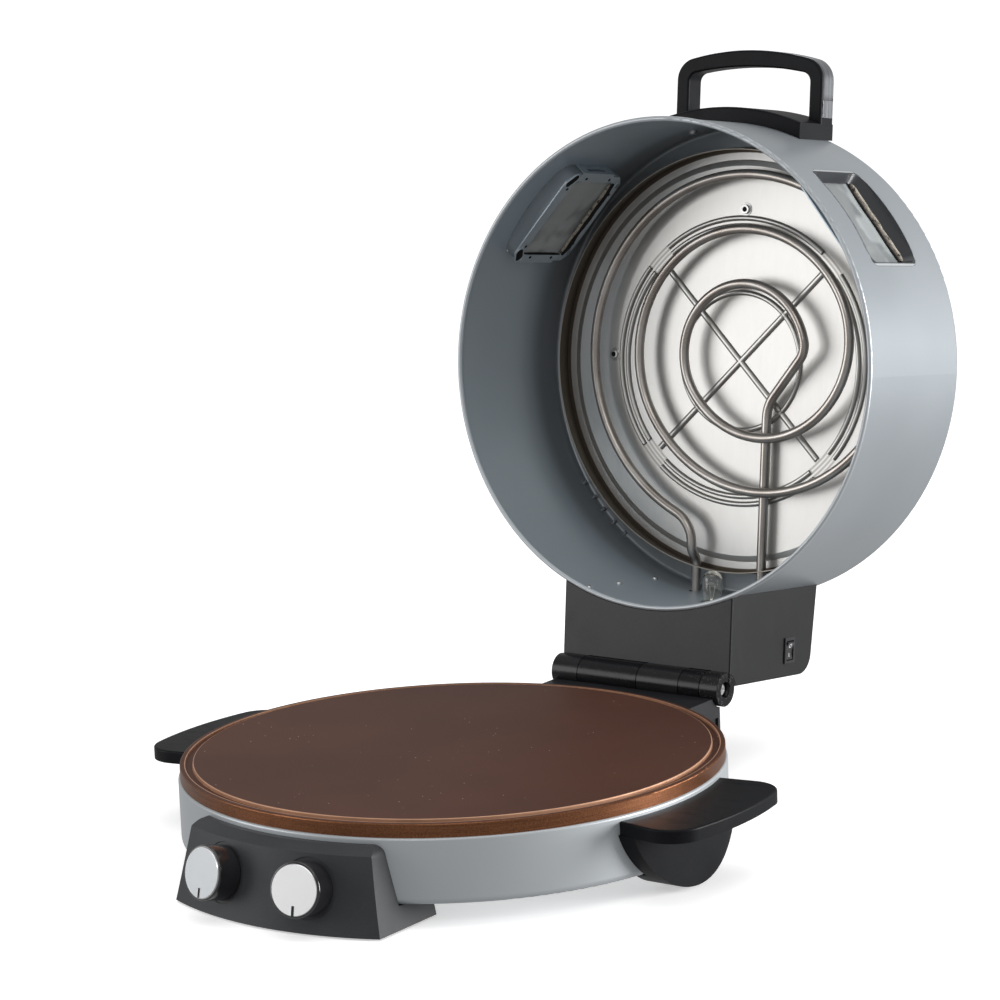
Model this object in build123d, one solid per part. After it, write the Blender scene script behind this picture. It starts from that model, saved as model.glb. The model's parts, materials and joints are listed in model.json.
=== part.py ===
from build123d import *
import os
from math import atan2, cos, degrees, radians, sin, sqrt

# Arabic bread maker: a heated round plate on a shallow pan, and a deep lid with its own
# heating tube that hinges at the back. Millimetres, +Z up, +Y towards the hinge.
# Base pieces are built about the axis of the plate with the table at z = 0. Lid pieces are
# built about the axis of the drum with its rim at z = 0, as if the lid were closed, and
# are then swung open about the hinge pin.

# Stack of heights from the table up
pad_proud = 1.5
shoe_drop = 15.7
pan_height = 47.2
skirt_height = 9.8

# Clearances and the overrun of cuts
seat_gap = 0.2
slip_gap = 0.05
rest_gap = 0.3
overrun = 5.0

# Screws and rivets
screw_radius = 2.0
screw_head_radius = 3.8
screw_head_height = 2.4
screw_bite = 7.0
rivet_radius = 1.5
rivet_head_radius = 2.5
rivet_head_height = 1.4
edge_break_share = 0.33
dome_share = 0.9

# Cooking plate
plate_radius = 200.0
deck_thickness = 7.0
skirt_wall = 5.0
disc_rise = 0.8
disc_edge_round = 0.6
gutter_depth = 1.8
gutter_play = 0.8
plate_edge_round = 1.0
boss_radius = 9.0
boss_height = 6.0
stud_circle_share = 0.3
stud_turn = 30.0
clamp_turn = 90.0

# Base pan
pan_margin = 1.5
sheet = 0.8
pan_corner = 5.0
pan_rim_round = 1.8
pan_rim_width = 12.0
vent_length = 34.0
vent_width = 4.0
vent_circles = (95.0, 132.0)
vent_count = 10
unit_opening_width = 136.0
unit_opening_lift = 4.8
unit_opening_drop = 8.4
wire_hole_radius = 8.0
wire_hole_lift = 18.8

# Lower heating element, its clamps and the heat shield
tube_radius = 4.0
lower_loop_shares = (0.75, 0.46)
lower_gap_angle = 26.0
lower_leg_bend = 12.0
clamp_width = 16.0
clamp_thickness = 2.5
clamp_corner = 4.0
clamp_overlap = 17.0
shield_margin = 20.0
shield_lip = 8.0
shield_height = 22.0
shield_leg_hole = 7.0
stud_radius = 3.0
nut_across = 10.0
nut_height = 5.0
spacer_radius = 7.0
sensor_length = 48.0
sensor_radius = 3.2
sensor_strap = 14.0
terminal_block_width = 44.0
terminal_block_depth = 18.0
terminal_block_height = 14.0
terminal_block_margin = 51.5
terminal_pitch = 14.6

# Control panel, a moulded shoe that is also the front foot
panel_foot_out = 25.7
panel_top_out = 13.5
panel_strip_out = 5.0
panel_face_drop = 19.0
panel_strip_rise = 5.0
panel_half_foot = 91.4
panel_half_middle = 85.2
panel_half_top = 79.6
panel_corner = 8.0
panel_tail_margin = 56.5
panel_wall = 3.0
panel_screw_x = 60.0
panel_screw_margin = 29.5

# Knobs, their shafts and the units that they turn
knob_bearing = 9.94
knob_drop = 23.4
knob_radius = 19.3
knob_length = 18.7
knob_gap = 0.6
knob_edge = 1.2
knob_wall = 2.0
cap_radius = 17.6
cap_thickness = 1.2
cap_recess = 0.6
pointer_width = 2.2
pointer_length = 7.0
shaft_radius = 3.0
shaft_flat = 1.0
shaft_reach = 13.0
shaft_tail = 10.0
hub_radius = 6.0
bush_radius = 5.0
collar_radius = 21.5
collar_depth = 1.0
unit_setback = 4.5
unit_boss_radius = 11.0
unit_depth = 12.0
timer_width = 46.0
timer_height_share = 0.596
thermostat_radius_share = 0.307
unit_corner = 4.0
tab_length = 8.0
tab_width = 6.3
tab_thickness = 0.8

# Side handles, a wing over a half round boss
wing_drop = 13.5
wing_thickness = 9.6
wing_out = 49.2
wing_arc = 255.1
wing_half_root = 64.5
wing_half_tip = 71.0
wing_tip_out = 24.5
wing_corner = 24.0
wing_edge_round = 1.6
moulded_wall = 3.0
moulded_rib = 2.4
rib_pitch = 34.0
side_boss_out = 12.5
side_boss_arc = 69.0
side_boss_lift = 2.2
side_boss_margin = 15.5
side_screw_pitch = 40.0
side_screw_drop = 34.0

# Rear block, knuckles and pin of the lid hinge
hinge_out = 48.7
hinge_drop = 3.4
barrel_radius = 13.2
barrel_end = 78.4
knuckle_splits = (-54.1, 3.2, 41.9, 62.3)
knuckle_gap = 0.7
swing_gap = 0.8
pin_radius = 4.0
pin_recess_radius = 6.4
pin_recess_depth = 6.0
pin_screw_radius = 4.9
cross_length = 5.4
cross_width = 0.8
block_half_width = 75.0
block_drop = 8.2
block_setback = 1.2
block_margin = 61.5
block_corner = 3.0
grip_width = 10.0
grip_height = 9.0
grip_depth = 2.0
grip_setback = 10.0
grip_drop = 29.0
stop_width = 84.0
stop_thickness = 7.0
stop_drop = 26.8
stop_foot = 24.0
gland_radius = 7.0
gland_bore = 3.6
gland_flange = 10.0
gland_flange_thickness = 2.0
gland_drop = 30.2
gland_side = 58.0

# Feet
pad_radius = 7.0
pad_recess = 1.5
pad_chamfer = 0.5
front_pad_x = 72.0
front_pad_out = 1.5
rear_pad_x = 63.0
rear_pad_setback = 12.0

# Lid drum, hinged open by lid_open_angle
lid_open_angle = 96.76
rim_lift = 3.5
drum_margin = 6.0
drum_depth = 141.3
drum_wall = 1.0
drum_corner = 4.0
bead_radius = 2.0
bead_setback = 0.8

# Windows in the drum, one each side of the handle
window_bearing = 50.3
window_half_angle = 14.1
window_near = 31.5
window_setback = 37.8
window_round = 10.0
pane_depth = 13.0
pane_thickness = 4.0
pane_round = 5.0
pane_hold = 3.0
bezel_rim = 1.4
bezel_side = 7.4
bezel_end = 8.0
bezel_lip = 1.2
retainer_sheet = 1.0
retainer_overhang = 3.0
retainer_slot_width = 5.0
retainer_slot_height = 2.6
retainer_slot_inset = 9.0
retainer_corner = 7.0
lug_width = 44.0
lug_slot_width = 26.0
lug_slot_height = 3.0

# Reflector dish in the lid, with pressed ribs
reflector_setback = 11.8
reflector_lip_height = 14.0
reflector_margin = 20.5
reflector_flare = 1.5
reflector_step_margin = 13.5
reflector_step_width = 5.0
reflector_step = 1.6
rib_height = 2.2
rib_half_width = 2.2
inner_rib_circle = 56.5
outer_rib_circles = (111.0, 117.4)
outer_rib_arc = 78.0
cross_rib_half_width = 2.8
cross_rib_height = 2.0
cross_rib_reach = 107.0
reflector_spacer_margin = 49.0
reflector_spacer_bearings = (0.0, 90.0, -90.0)
reflector_spacer_radius = 5.0

# Upper heating element: half turns about two centres in turn
coil_setback = 17.6
leg_setback = 9.0
coil_margin = 27.0
coil_step_share = 0.1515
coil_x_share = 0.0853
coil_w_share = 0.045
coil_split = 35.0
coil_half_turns = 5
coil_end_angle = 15.0
leg_x_share = 0.2137
leg_bend_share = 0.191
leg_step_start = 4.5
leg_step_run = 9.0
leg_step_bend = 10.0
drop_lead_share = 0.065
drop_bend_share = 0.116
drop_w_share = -0.232
drop_leg_bend_share = 0.191
leg_out_share = 0.33
leg_collar_radius = 8.0
leg_collar_length = 4.0
leg_collar_flat = 4.6
bead_length = 5.0
terminal_pin_radius = 1.6
terminal_pin_length = 7.5

# Lamp in the foot of the drum
lamp_x = 19.3
lamp_depth = 66.0
lamp_radius = 8.2
lamp_height = 26.0
lamp_glass = 0.8
lamp_neck = 6.0
socket_radius = 11.0
socket_length = 24.0

# Housing behind the drum
housing_half_width = 79.5
housing_setback = 1.7
housing_lift = 0.6
housing_tuck = 39.0
housing_root_setback = 9.5
housing_fall = 9.2
housing_corner = 17.0
housing_edge_round = 1.2
housing_wall = 2.8
service_half_width = 44.0
service_near = 44.0
service_setback = 5.8
cover_width = 124.0
cover_height_share = 0.697
cover_thickness = 1.5
cover_border = 7.0
cover_round = 3.0
cover_place_share = 0.404
cover_slot_length = 30.0
cover_slot_width = 3.0
cover_slot_pitch = 8.0
cover_slot_spread = 18.0
cover_slot_rows = 3
housing_rivet_bearing = 161.6
housing_rivet_depths = (8.0, 51.0, 104.0)

# Rocker switch on the side of the housing
switch_setback = 21.4
switch_drop = 34.4
switch_length = 21.0
switch_width = 15.0
switch_flange = 1.6
switch_body_length = 19.0
switch_body_width = 13.0
switch_body_depth = 13.0
switch_corner = 1.0
switch_tab_place = 4.8
rocker_reach = 7.6
rocker_width = 9.6
rocker_play = 0.4
rocker_rise = 2.2
rocker_valley = 0.7
rocker_pivot = 1.0
rocker_foot = 6.0
rocker_tilt = 8.0
trunnion_radius = 1.5
trunnion_length = 1.2

# Lid handle, a loop on an arched saddle
saddle_width = 51.5
saddle_thickness = 12.3
saddle_edge_round = 2.0
loop_proud = 2.2
loop_width = 19.5
loop_half = 69.4
loop_bar = 11.9
loop_rise = 59.4
loop_arch = 10.6
loop_corner = 18.0
loop_grip = 13.4
loop_inner_arch = 5.7
loop_inner_corner = 8.0
loop_edge_round = 1.8
trim_width = 15.5
trim_thickness = 1.2
trim_proud = 0.2
trim_lift = 6.0
handle_screw_bearing = 14.5
handle_screw_setback = 24.5

# Base: heights and places that follow
pan_floor = pad_proud + shoe_drop
pan_top = pan_floor + pan_height
plate_top = pan_top + skirt_height
deck_under = plate_top - deck_thickness
tube_centre = deck_under - tube_radius
clamp_top = deck_under - 2 * tube_radius
pan_radius = plate_radius + pan_margin
pan_seat = pan_radius + seat_gap
unit_opening_foot = pan_floor + unit_opening_lift
unit_opening_top = pan_top - unit_opening_drop
wire_hole_height = pan_floor + wire_hole_lift
stud_circle = plate_radius * stud_circle_share
lower_outer_loop, lower_inner_loop = [plate_radius * share for share in lower_loop_shares]
clamp_circle = (lower_outer_loop + lower_inner_loop) / 2
clamp_length = lower_outer_loop - lower_inner_loop + 2 * clamp_overlap
shield_radius = plate_radius - shield_margin
terminal_block_reach = pan_radius - terminal_block_margin
panel_foot_radius = pan_radius + panel_foot_out
panel_top_radius = pan_radius + panel_top_out
panel_strip_radius = pan_radius + panel_strip_out
panel_face_height = plate_top - panel_face_drop - pad_proud
panel_rise = panel_face_height + panel_strip_rise
panel_tail = pan_radius - panel_tail_margin
panel_screw_y = pan_radius - panel_screw_margin
knob_height = panel_face_height - knob_drop
timer_height = panel_face_height * timer_height_share
thermostat_radius = panel_face_height * thermostat_radius_share
wing_reach = pan_radius + wing_out
wing_tip_x = pan_radius + wing_tip_out
wing_under = plate_top - wing_drop - wing_thickness
side_boss_radius = pan_radius + side_boss_out
side_boss_tuck = pan_radius - side_boss_margin
hinge_back = pan_radius + hinge_out
hinge_z = plate_top - hinge_drop
hinge_axis = Axis((0, hinge_back, hinge_z), (1, 0, 0))
block_back = hinge_back - block_setback
block_front = pan_radius - block_margin
gland_height = plate_top - gland_drop
front_pad_y = pan_radius + front_pad_out
rear_pad_y = block_back - rear_pad_setback

# Lid: heights and places that follow
rim_z = hinge_z + rim_lift
drum_radius = plate_radius - drum_margin
drum_bore = drum_radius - drum_wall
bead_circle = drum_radius - bead_setback
bead_inner = bead_circle - bead_radius
bead_outer = bead_circle + bead_radius
window_far = drum_depth - window_setback
window_chord = 2 * drum_radius * sin(radians(window_half_angle))
window_span = window_far - window_near
window_sag = drum_radius * (1 - cos(radians(window_half_angle)))
reflector_floor = drum_depth - reflector_setback
reflector_lip = reflector_floor - reflector_lip_height
reflector_back = reflector_floor - reflector_step + sheet
reflector_radius = drum_radius - reflector_margin
reflector_step_circle = reflector_radius - reflector_step_margin
reflector_spacer_circle = reflector_radius - reflector_spacer_margin
coil_depth = reflector_floor - coil_setback
leg_depth = reflector_floor - leg_setback
coil_radius = reflector_radius - coil_margin
coil_step = coil_radius * coil_step_share
coil_x = coil_radius * coil_x_share
coil_w = coil_radius * coil_w_share
leg_x = coil_radius * leg_x_share
leg_bend = coil_radius * leg_bend_share
drop_lead = coil_radius * drop_lead_share
drop_bend = coil_radius * drop_bend_share
drop_w = coil_radius * drop_w_share
drop_leg_bend = coil_radius * drop_leg_bend_share
housing_reach = hinge_back - housing_setback
housing_foot = housing_reach - drum_radius
leg_end = drum_radius + housing_foot * leg_out_share
housing_root = drum_radius - housing_tuck
housing_root_depth = drum_depth - housing_root_setback
housing_foot_depth = housing_root_depth - housing_fall
service_far = housing_root_depth - service_setback
cover_place = drum_radius + housing_foot * cover_place_share
cover_height = housing_foot * cover_height_share
switch_reach = housing_reach - switch_setback
switch_depth = housing_foot_depth - switch_drop
loop_far = drum_depth + loop_proud
loop_near = loop_far - loop_width
saddle_near = loop_far - saddle_width
loop_top = drum_radius + loop_rise
loop_shoulder = loop_top - loop_arch
loop_inner_shoulder = loop_top - loop_grip - loop_inner_arch
trim_foot = drum_radius + trim_lift
handle_screw_depth = loop_far - handle_screw_setback


def post(radius, low, high, x=0, y=0):
    """A vertical cylinder between two heights."""
    return Pos(x, y, low) * extrude(Circle(radius), high - low)


def pipe(radius, bore, low, high, x=0, y=0):
    """A vertical pipe between two heights."""
    return post(radius, low, high, x, y) - post(bore, low - overrun, high + overrun, x, y)


def turned(*points):
    """A solid of revolution about Z from points (radius, height)."""
    return revolve(Plane.XZ * make_face(Polyline(*points, close=True)), Axis.Z)


def along_x(radius, start, end, y, z):
    """A cylinder along X between two places."""
    return Location((start, y, z), (0, 90, 0)) * extrude(Circle(radius), end - start)


def slab(x0, x1, y0, y1, z0, z1):
    """A box given by its limits."""
    centre = Pos((x0 + x1) / 2, (y0 + y1) / 2, (z0 + z1) / 2)
    return centre * Box(x1 - x0, y1 - y0, z1 - z0)


def around(shape, count, start=0):
    """Copies of a shape, evenly turned about Z."""
    return [Rot(0, 0, start + 360 * i / count) * shape for i in range(count)]


def group(shapes):
    """Separate solids kept in one node."""
    return Compound(children=[solid for shape in shapes for solid in shape.solids()])


def screw(length):
    """A pan head screw along Z, its head below the origin."""
    head = Pos(0, 0, -screw_head_height) * extrude(Circle(screw_head_radius), screw_head_height)
    head = chamfer(head.edges().group_by(Axis.Z)[0], screw_head_height * edge_break_share)
    return head + extrude(Circle(screw_radius), length)


def rounded_edge(part, axis, place, radius):
    """Round the edges at one end of a part along an axis."""
    return fillet(part.edges().group_by(axis)[place], radius)


# Base: cooking plate
def make_cooking_plate():
    disc = bead_inner - gutter_play
    gutter = bead_outer + gutter_play
    plate = turned(
        (0, deck_under), (plate_radius - skirt_wall, deck_under),
        (plate_radius - skirt_wall, pan_top), (plate_radius, pan_top),
        (plate_radius, plate_top), (gutter, plate_top), (gutter, plate_top - gutter_depth),
        (disc, plate_top - gutter_depth), (disc, plate_top + disc_rise),
        (0, plate_top + disc_rise))
    plate = rounded_edge(plate, Axis.Z, -1, disc_edge_round)
    rim = plate.edges().filter_by(lambda e: abs(e.bounding_box().max.X - plate_radius) < slip_gap
                                  and e.center().Z > plate_top - slip_gap)
    plate = fillet(rim, plate_edge_round)
    boss = post(boss_radius, deck_under - boss_height, deck_under, stud_circle)
    boss -= post(stud_radius, deck_under - boss_height - overrun, deck_under, stud_circle)
    pad = post(boss_radius, clamp_top, deck_under, clamp_circle)
    pad -= post(screw_radius, clamp_top - overrun, deck_under, clamp_circle)
    for shape in around(boss, 3, stud_turn) + around(pad, 3, clamp_turn):
        plate += shape
    return plate


# Base: pan and what it holds
def make_base_pan():
    outer = rounded_edge(post(pan_radius, pan_floor, pan_top), Axis.Z, 0, pan_corner)
    outer = rounded_edge(outer, Axis.Z, -1, pan_rim_round)
    inner = rounded_edge(post(pan_radius - sheet, pan_floor + sheet, pan_top - sheet),
                         Axis.Z, 0, pan_corner - sheet)
    inner = rounded_edge(inner, Axis.Z, -1, pan_rim_round - sheet)
    pan = outer - inner - post(pan_radius - pan_rim_width, pan_top - overrun, pan_top + overrun)
    slot = extrude(SlotOverall(vent_length, vent_width), overrun, both=True)
    for circle in vent_circles:
        for copy in around(Pos(0, circle, pan_floor) * slot, vent_count, 180 / vent_count):
            pan -= copy
    for copy in around(post(stud_radius + seat_gap, 0, pan_floor + overrun, stud_circle), 3, stud_turn):
        pan -= copy
    half = unit_opening_width / 2
    pan -= slab(-half, half, -pan_radius - overrun, -sqrt(pan_radius ** 2 - half ** 2) + overrun,
                unit_opening_foot, unit_opening_top)
    pan -= rear_hole(wire_hole_radius, 0, wire_hole_height)
    for place in side_screw_places() + block_screw_places() + panel_screw_places():
        pan -= place * extrude(Circle(screw_radius + seat_gap), overrun, both=True)
    return pan


def rear_hole(radius, x, height):
    """A hole through the rear wall of the pan and what stands behind it."""
    start = pan_radius - 2 * overrun
    return Location((x, start, height), (-90, 0, 0)) * extrude(Circle(radius), 4 * overrun)


def side_screw_places():
    """Frames of the side handle screws, +Z out through the wall of the pan."""
    half = side_screw_pitch / 2
    wall = sqrt((pan_radius - sheet) ** 2 - (half + screw_head_radius) ** 2)
    height = plate_top - side_screw_drop
    return [Plane((side * wall, y, height), x_dir=(0, 1, 0), z_dir=(side, 0, 0)).location
            for side in (-1, 1) for y in (-half, half)]


def block_screw_places():
    """Frames of the rear block screws, +Z back through the wall of the pan."""
    half = side_screw_pitch
    wall = sqrt((pan_radius - sheet) ** 2 - (half + screw_head_radius) ** 2)
    return [Plane((x, wall, wire_hole_height), x_dir=(1, 0, 0), z_dir=(0, 1, 0)).location
            for x in (-half, half)]


def panel_screw_places():
    """Frames of the panel screws, +Z down through the floor of the pan."""
    return [Plane((x, -panel_screw_y, pan_floor + sheet), x_dir=(1, 0, 0), z_dir=(0, 0, -1)).location
            for x in (-panel_screw_x, panel_screw_x)]


def lower_leg_places():
    """Where the two legs of the lower element pass down through the shield."""
    start = radians(-90 + lower_gap_angle / 2)
    return [(loop * cos(start) + lower_leg_bend * sin(start), loop * sin(start) - lower_leg_bend * cos(start))
            for loop in (lower_outer_loop, lower_inner_loop)]


def make_heat_shield():
    floor = pan_floor + shield_height
    edge = shield_radius + shield_lip
    shield = turned((0, floor), (shield_radius, floor), (edge, floor + shield_lip),
                    (edge - sheet, floor + shield_lip + sheet), (shield_radius - sheet / 2, floor + sheet),
                    (0, floor + sheet))
    hole = post(stud_radius + seat_gap, floor - overrun, floor + overrun, stud_circle)
    for copy in around(hole, 3, stud_turn):
        shield -= copy
    for x, y in lower_leg_places():
        shield -= post(shield_leg_hole, floor - overrun, floor + overrun, x, y)
    return shield


def lower_leg(loop):
    """The end of one ring, turned down through the shield."""
    start = radians(-90 + lower_gap_angle / 2)
    on_ring = Vector(loop * cos(start), loop * sin(start), tube_centre)
    onward = Vector(sin(start), -cos(start), 0)
    middle = radians(45)
    knee = on_ring + onward * (lower_leg_bend * sin(middle))
    knee -= Vector(0, 0, lower_leg_bend * (1 - cos(middle)))
    turn = on_ring + onward * lower_leg_bend - Vector(0, 0, lower_leg_bend)
    end = Vector(turn.X, turn.Y, pan_floor + shield_height / 2)
    return [Line(end, turn), ThreePointArc(turn, knee, on_ring)]


def make_lower_element():
    """Two rings of tube joined by a U bend, with both ends turned down."""
    start, finish = -90 + lower_gap_angle / 2, 270 - lower_gap_angle / 2
    level = Plane((0, 0, tube_centre))
    far = radians(finish)
    out = Vector(cos(far), sin(far), 0)
    onward = Vector(-sin(far), cos(far), 0)
    lift = Vector(0, 0, tube_centre)
    reach = (lower_outer_loop - lower_inner_loop) / 2
    middle = out * (lower_outer_loop + lower_inner_loop) / 2 + onward * reach + lift
    bend = ThreePointArc(out * lower_outer_loop + lift, middle, out * lower_inner_loop + lift)
    rings = [level * CenterArc((0, 0), loop, start, finish - start)
             for loop in (lower_outer_loop, lower_inner_loop)]
    path = Wire(lower_leg(lower_outer_loop) + [rings[0], bend, rings[1]] + lower_leg(lower_inner_loop))
    return sweep(Plane(path @ 0, z_dir=path % 0) * Circle(tube_radius), path)


def make_element_clamps():
    bar = slab(-clamp_width / 2, clamp_width / 2, clamp_circle - clamp_length / 2,
               clamp_circle + clamp_length / 2, clamp_top - clamp_thickness, clamp_top)
    bar = fillet(bar.edges().filter_by(Axis.Z), clamp_corner)
    bar -= post(screw_radius + seat_gap, clamp_top - overrun, clamp_top + overrun, 0, clamp_circle)
    return group(around(bar, 3))


def make_clamp_screws():
    return group(around(Pos(0, clamp_circle, clamp_top - clamp_thickness) * screw(screw_bite), 3))


def make_plate_studs():
    """Studs from the plate down through the shield, held by nuts under the pan."""
    low = pan_floor - nut_height
    stud = post(stud_radius, low, deck_under - seat_gap, stud_circle)
    nut = Pos(stud_circle, 0, low) * extrude(
        RegularPolygon(nut_across / 2, 6, major_radius=False), nut_height)
    return group(around(stud + nut, 3, stud_turn))


def make_shield_spacers():
    bore = stud_radius + seat_gap
    floor = pan_floor + shield_height
    lower = pipe(spacer_radius, bore, pan_floor + sheet, floor, stud_circle)
    upper = pipe(spacer_radius, bore, floor + sheet, deck_under - boss_height, stud_circle)
    return group(around(lower, 3, stud_turn) + around(upper, 3, stud_turn))


def make_sensor_bulb():
    """Thermostat sensor that lies against the underside of the plate."""
    return along_x(sensor_radius, -sensor_length / 2, sensor_length / 2, 0, deck_under - sensor_radius)


def make_sensor_strap():
    half = sensor_strap / 2
    low = deck_under - 2 * sensor_radius - clamp_thickness
    strap = slab(-half, half, -sensor_strap, sensor_strap, low, deck_under)
    bed = along_x(sensor_radius, -sensor_length, sensor_length, 0, deck_under - sensor_radius)
    open_top = slab(-sensor_length, sensor_length, -sensor_radius, sensor_radius,
                    deck_under - sensor_radius, deck_under + overrun)
    return strap - bed - open_top


def make_terminal_block():
    floor = pan_floor + sheet
    half = terminal_block_width / 2
    block = slab(-half, half, terminal_block_reach, terminal_block_reach + terminal_block_depth,
                 floor, floor + terminal_block_height)
    middle = terminal_block_reach + terminal_block_depth / 2
    for x in (-terminal_pitch, 0, terminal_pitch):
        block -= post(screw_head_radius, floor + terminal_block_height / 2,
                      floor + terminal_block_height + overrun, x, middle)
    return block


# Base: control panel
def panel_outline(inset):
    """Front outline of the shoe: sides drawn in as they rise, round upper corners."""
    foot, top = pad_proud + inset, pad_proud + panel_rise - inset
    low, middle, high = panel_half_foot - inset, panel_half_middle - inset, panel_half_top - inset
    centre = (foot + top) / 2
    face = make_face([
        ThreePointArc((low, foot), (middle, centre), (high, top)), Line((high, top), (-high, top)),
        ThreePointArc((-high, top), (-middle, centre), (-low, foot)), Line((-low, foot), (low, foot))])
    face = fillet(face.vertices().group_by(Axis.Y)[-1], panel_corner - inset)
    return Plane((0, 0, 0), x_dir=(1, 0, 0), z_dir=(0, -1, 0)) * face


def panel_body(inset):
    """The solid form of the shoe, or its hollow when inset by the wall."""
    foot, face_top = pad_proud + inset, pad_proud + panel_face_height
    top = face_top + panel_strip_rise - inset
    body = turned((0, foot), (panel_foot_radius - inset, foot), (panel_top_radius - inset, face_top),
                  (panel_strip_radius - inset / 2, top), (0, top))
    return body & extrude(panel_outline(inset), panel_foot_radius)


def knob_frame(side):
    """Frame on the sloping face, +Z out along the knob's axis and +Y up the face."""
    lean = (panel_foot_radius - panel_top_radius) / panel_face_height
    radius = panel_foot_radius - knob_height * lean
    bearing = radians(knob_bearing) * side
    slope = atan2(lean, 1)
    out = (sin(bearing) * cos(slope), -cos(bearing) * cos(slope), sin(slope))
    origin = (radius * sin(bearing), -radius * cos(bearing), pad_proud + knob_height)
    return Plane(origin, x_dir=(cos(bearing), sin(bearing), 0), z_dir=out)


def make_control_panel():
    ceiling = pan_floor - seat_gap
    shoe = panel_body(0) - post(pan_seat, ceiling, plate_top)
    shoe -= slab(-panel_half_foot, panel_half_foot, -panel_tail, overrun, 0, plate_top)
    hollow = panel_body(panel_wall)
    hollow -= post(pan_seat + panel_wall, 0, pan_floor + panel_wall)
    shoe -= hollow
    tail_half = panel_half_foot - 2 * panel_wall
    tail = slab(-tail_half, tail_half, -pan_radius, -panel_tail - panel_wall,
                -overrun, ceiling - panel_wall)
    shoe -= tail & post(pan_radius - panel_wall, -overrun, pan_floor)
    for x in (-1, 1):
        shoe -= post(pad_radius + seat_gap, 0, pad_proud + pad_recess, x * front_pad_x, -front_pad_y)
        shoe += post(screw_radius + panel_wall, pad_proud, ceiling, x * panel_screw_x, -panel_screw_y)
        shoe -= post(screw_radius, pad_proud + panel_wall, pan_floor, x * panel_screw_x, -panel_screw_y)
    for side in (-1, 1):
        frame = knob_frame(side)
        boss = Pos(0, 0, -unit_setback) * extrude(Circle(unit_boss_radius), unit_setback - collar_depth)
        shoe += frame * boss
        shoe -= frame * Pos(0, 0, -collar_depth) * extrude(Circle(collar_radius), overrun)
        shoe -= frame * extrude(Circle(bush_radius + seat_gap), 2 * overrun, both=True)
    return shoe


def make_knob(side):
    body = Pos(0, 0, knob_gap) * extrude(Circle(knob_radius), knob_length - knob_gap)
    body = rounded_edge(body, Axis.Z, -1, knob_edge)
    body -= Pos(0, 0, knob_length - cap_recess) * extrude(Circle(cap_radius + slip_gap), overrun)
    ring = extrude(Circle(knob_radius - knob_wall), knob_length / 2)
    body -= ring - extrude(Circle(hub_radius), knob_length)
    bore = extrude(Circle(shaft_radius + slip_gap), shaft_reach + slip_gap)
    keep = slab(-hub_radius, hub_radius, shaft_radius - shaft_flat + slip_gap, hub_radius,
                0, knob_length)
    return knob_frame(side) * (body - (bore - keep))


def make_knob_cap(side):
    low = knob_length - cap_recess
    cap = Pos(0, 0, low) * extrude(Circle(cap_radius), cap_thickness)
    cap = chamfer(cap.edges().group_by(Axis.Z)[-1], cap_thickness * edge_break_share)
    slot = slab(-pointer_width / 2, pointer_width / 2, -cap_radius - overrun,
                pointer_length - cap_radius, low + cap_thickness / 2, low + overrun)
    return knob_frame(side) * (cap - slot)


def make_shaft(side):
    shaft = Pos(0, 0, -shaft_tail) * extrude(Circle(shaft_radius), shaft_reach + shaft_tail)
    flat = slab(-hub_radius, hub_radius, shaft_radius - shaft_flat, hub_radius,
                0, shaft_reach + overrun)
    return knob_frame(side) * (shaft - flat)


def unit_fittings(half_width):
    """Bush through the panel, blades at the back, and the bore for the shaft."""
    bush = Pos(0, 0, -unit_setback) * extrude(Circle(bush_radius), unit_setback - collar_depth)
    low = -unit_setback - unit_depth - tab_length
    blades = [Pos(x, 0, low) * extrude(Rectangle(tab_width, tab_thickness), tab_length)
              for x in (-half_width / 2, half_width / 2)]
    bore = Pos(0, 0, -shaft_tail - slip_gap) * extrude(Circle(shaft_radius + slip_gap), shaft_tail)
    return [bush] + blades, bore


def make_timer():
    low = -unit_setback - unit_depth
    unit = Pos(0, 0, low) * extrude(RectangleRounded(timer_width, timer_height, unit_corner), unit_depth)
    unit -= Pos(0, 0, low) * extrude(
        RectangleRounded(timer_width, timer_height, unit_corner)
        - RectangleRounded(timer_width - unit_corner, timer_height - unit_corner, unit_corner),
        unit_depth / 2)
    fittings, bore = unit_fittings(timer_width / 2)
    for piece in fittings:
        unit += piece
    return knob_frame(-1) * (unit - bore)


def make_thermostat():
    low = -unit_setback - unit_depth
    unit = Pos(0, 0, low) * extrude(Circle(thermostat_radius), unit_depth)
    unit = rounded_edge(unit, Axis.Z, 0, unit_corner / 2)
    fittings, bore = unit_fittings(thermostat_radius)
    for piece in fittings:
        unit += piece
    return knob_frame(1) * (unit - bore)


# Base: side handles
def wing_face(inset):
    """Plan of the right wing: slanted flanks, round corners and an arc outside."""
    arc = wing_arc - inset
    centre = wing_reach - wing_arc
    root_x = sqrt(pan_radius ** 2 - wing_half_root ** 2) - overrun
    spread = (wing_half_tip - wing_half_root) / (wing_tip_x - root_x)
    root_y = wing_half_root - inset - overrun * spread
    tip_x = centre + sqrt(arc ** 2 - wing_half_tip ** 2)
    tip_y = root_y + spread * (tip_x - root_x)
    tip_x = centre + sqrt(arc ** 2 - tip_y ** 2)
    face = make_face([
        Line((root_x, root_y), (root_x, -root_y)), Line((root_x, -root_y), (tip_x, -tip_y)),
        ThreePointArc((tip_x, -tip_y), (centre + arc, 0), (tip_x, tip_y)),
        Line((tip_x, tip_y), (root_x, root_y))])
    return fillet(face.vertices().group_by(Axis.X)[-1], wing_corner - inset)


def side_boss(inset):
    """Half round boss under the wing, its outer face concentric with the pan."""
    radius = side_boss_arc - inset
    centre = side_boss_lift + side_boss_arc
    boss = along_x(radius, side_boss_tuck, side_boss_radius, 0, centre)
    boss &= slab(0, wing_reach, -radius, radius, 0, wing_under)
    return boss & post(side_boss_radius - inset, 0, plate_top)


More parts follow.
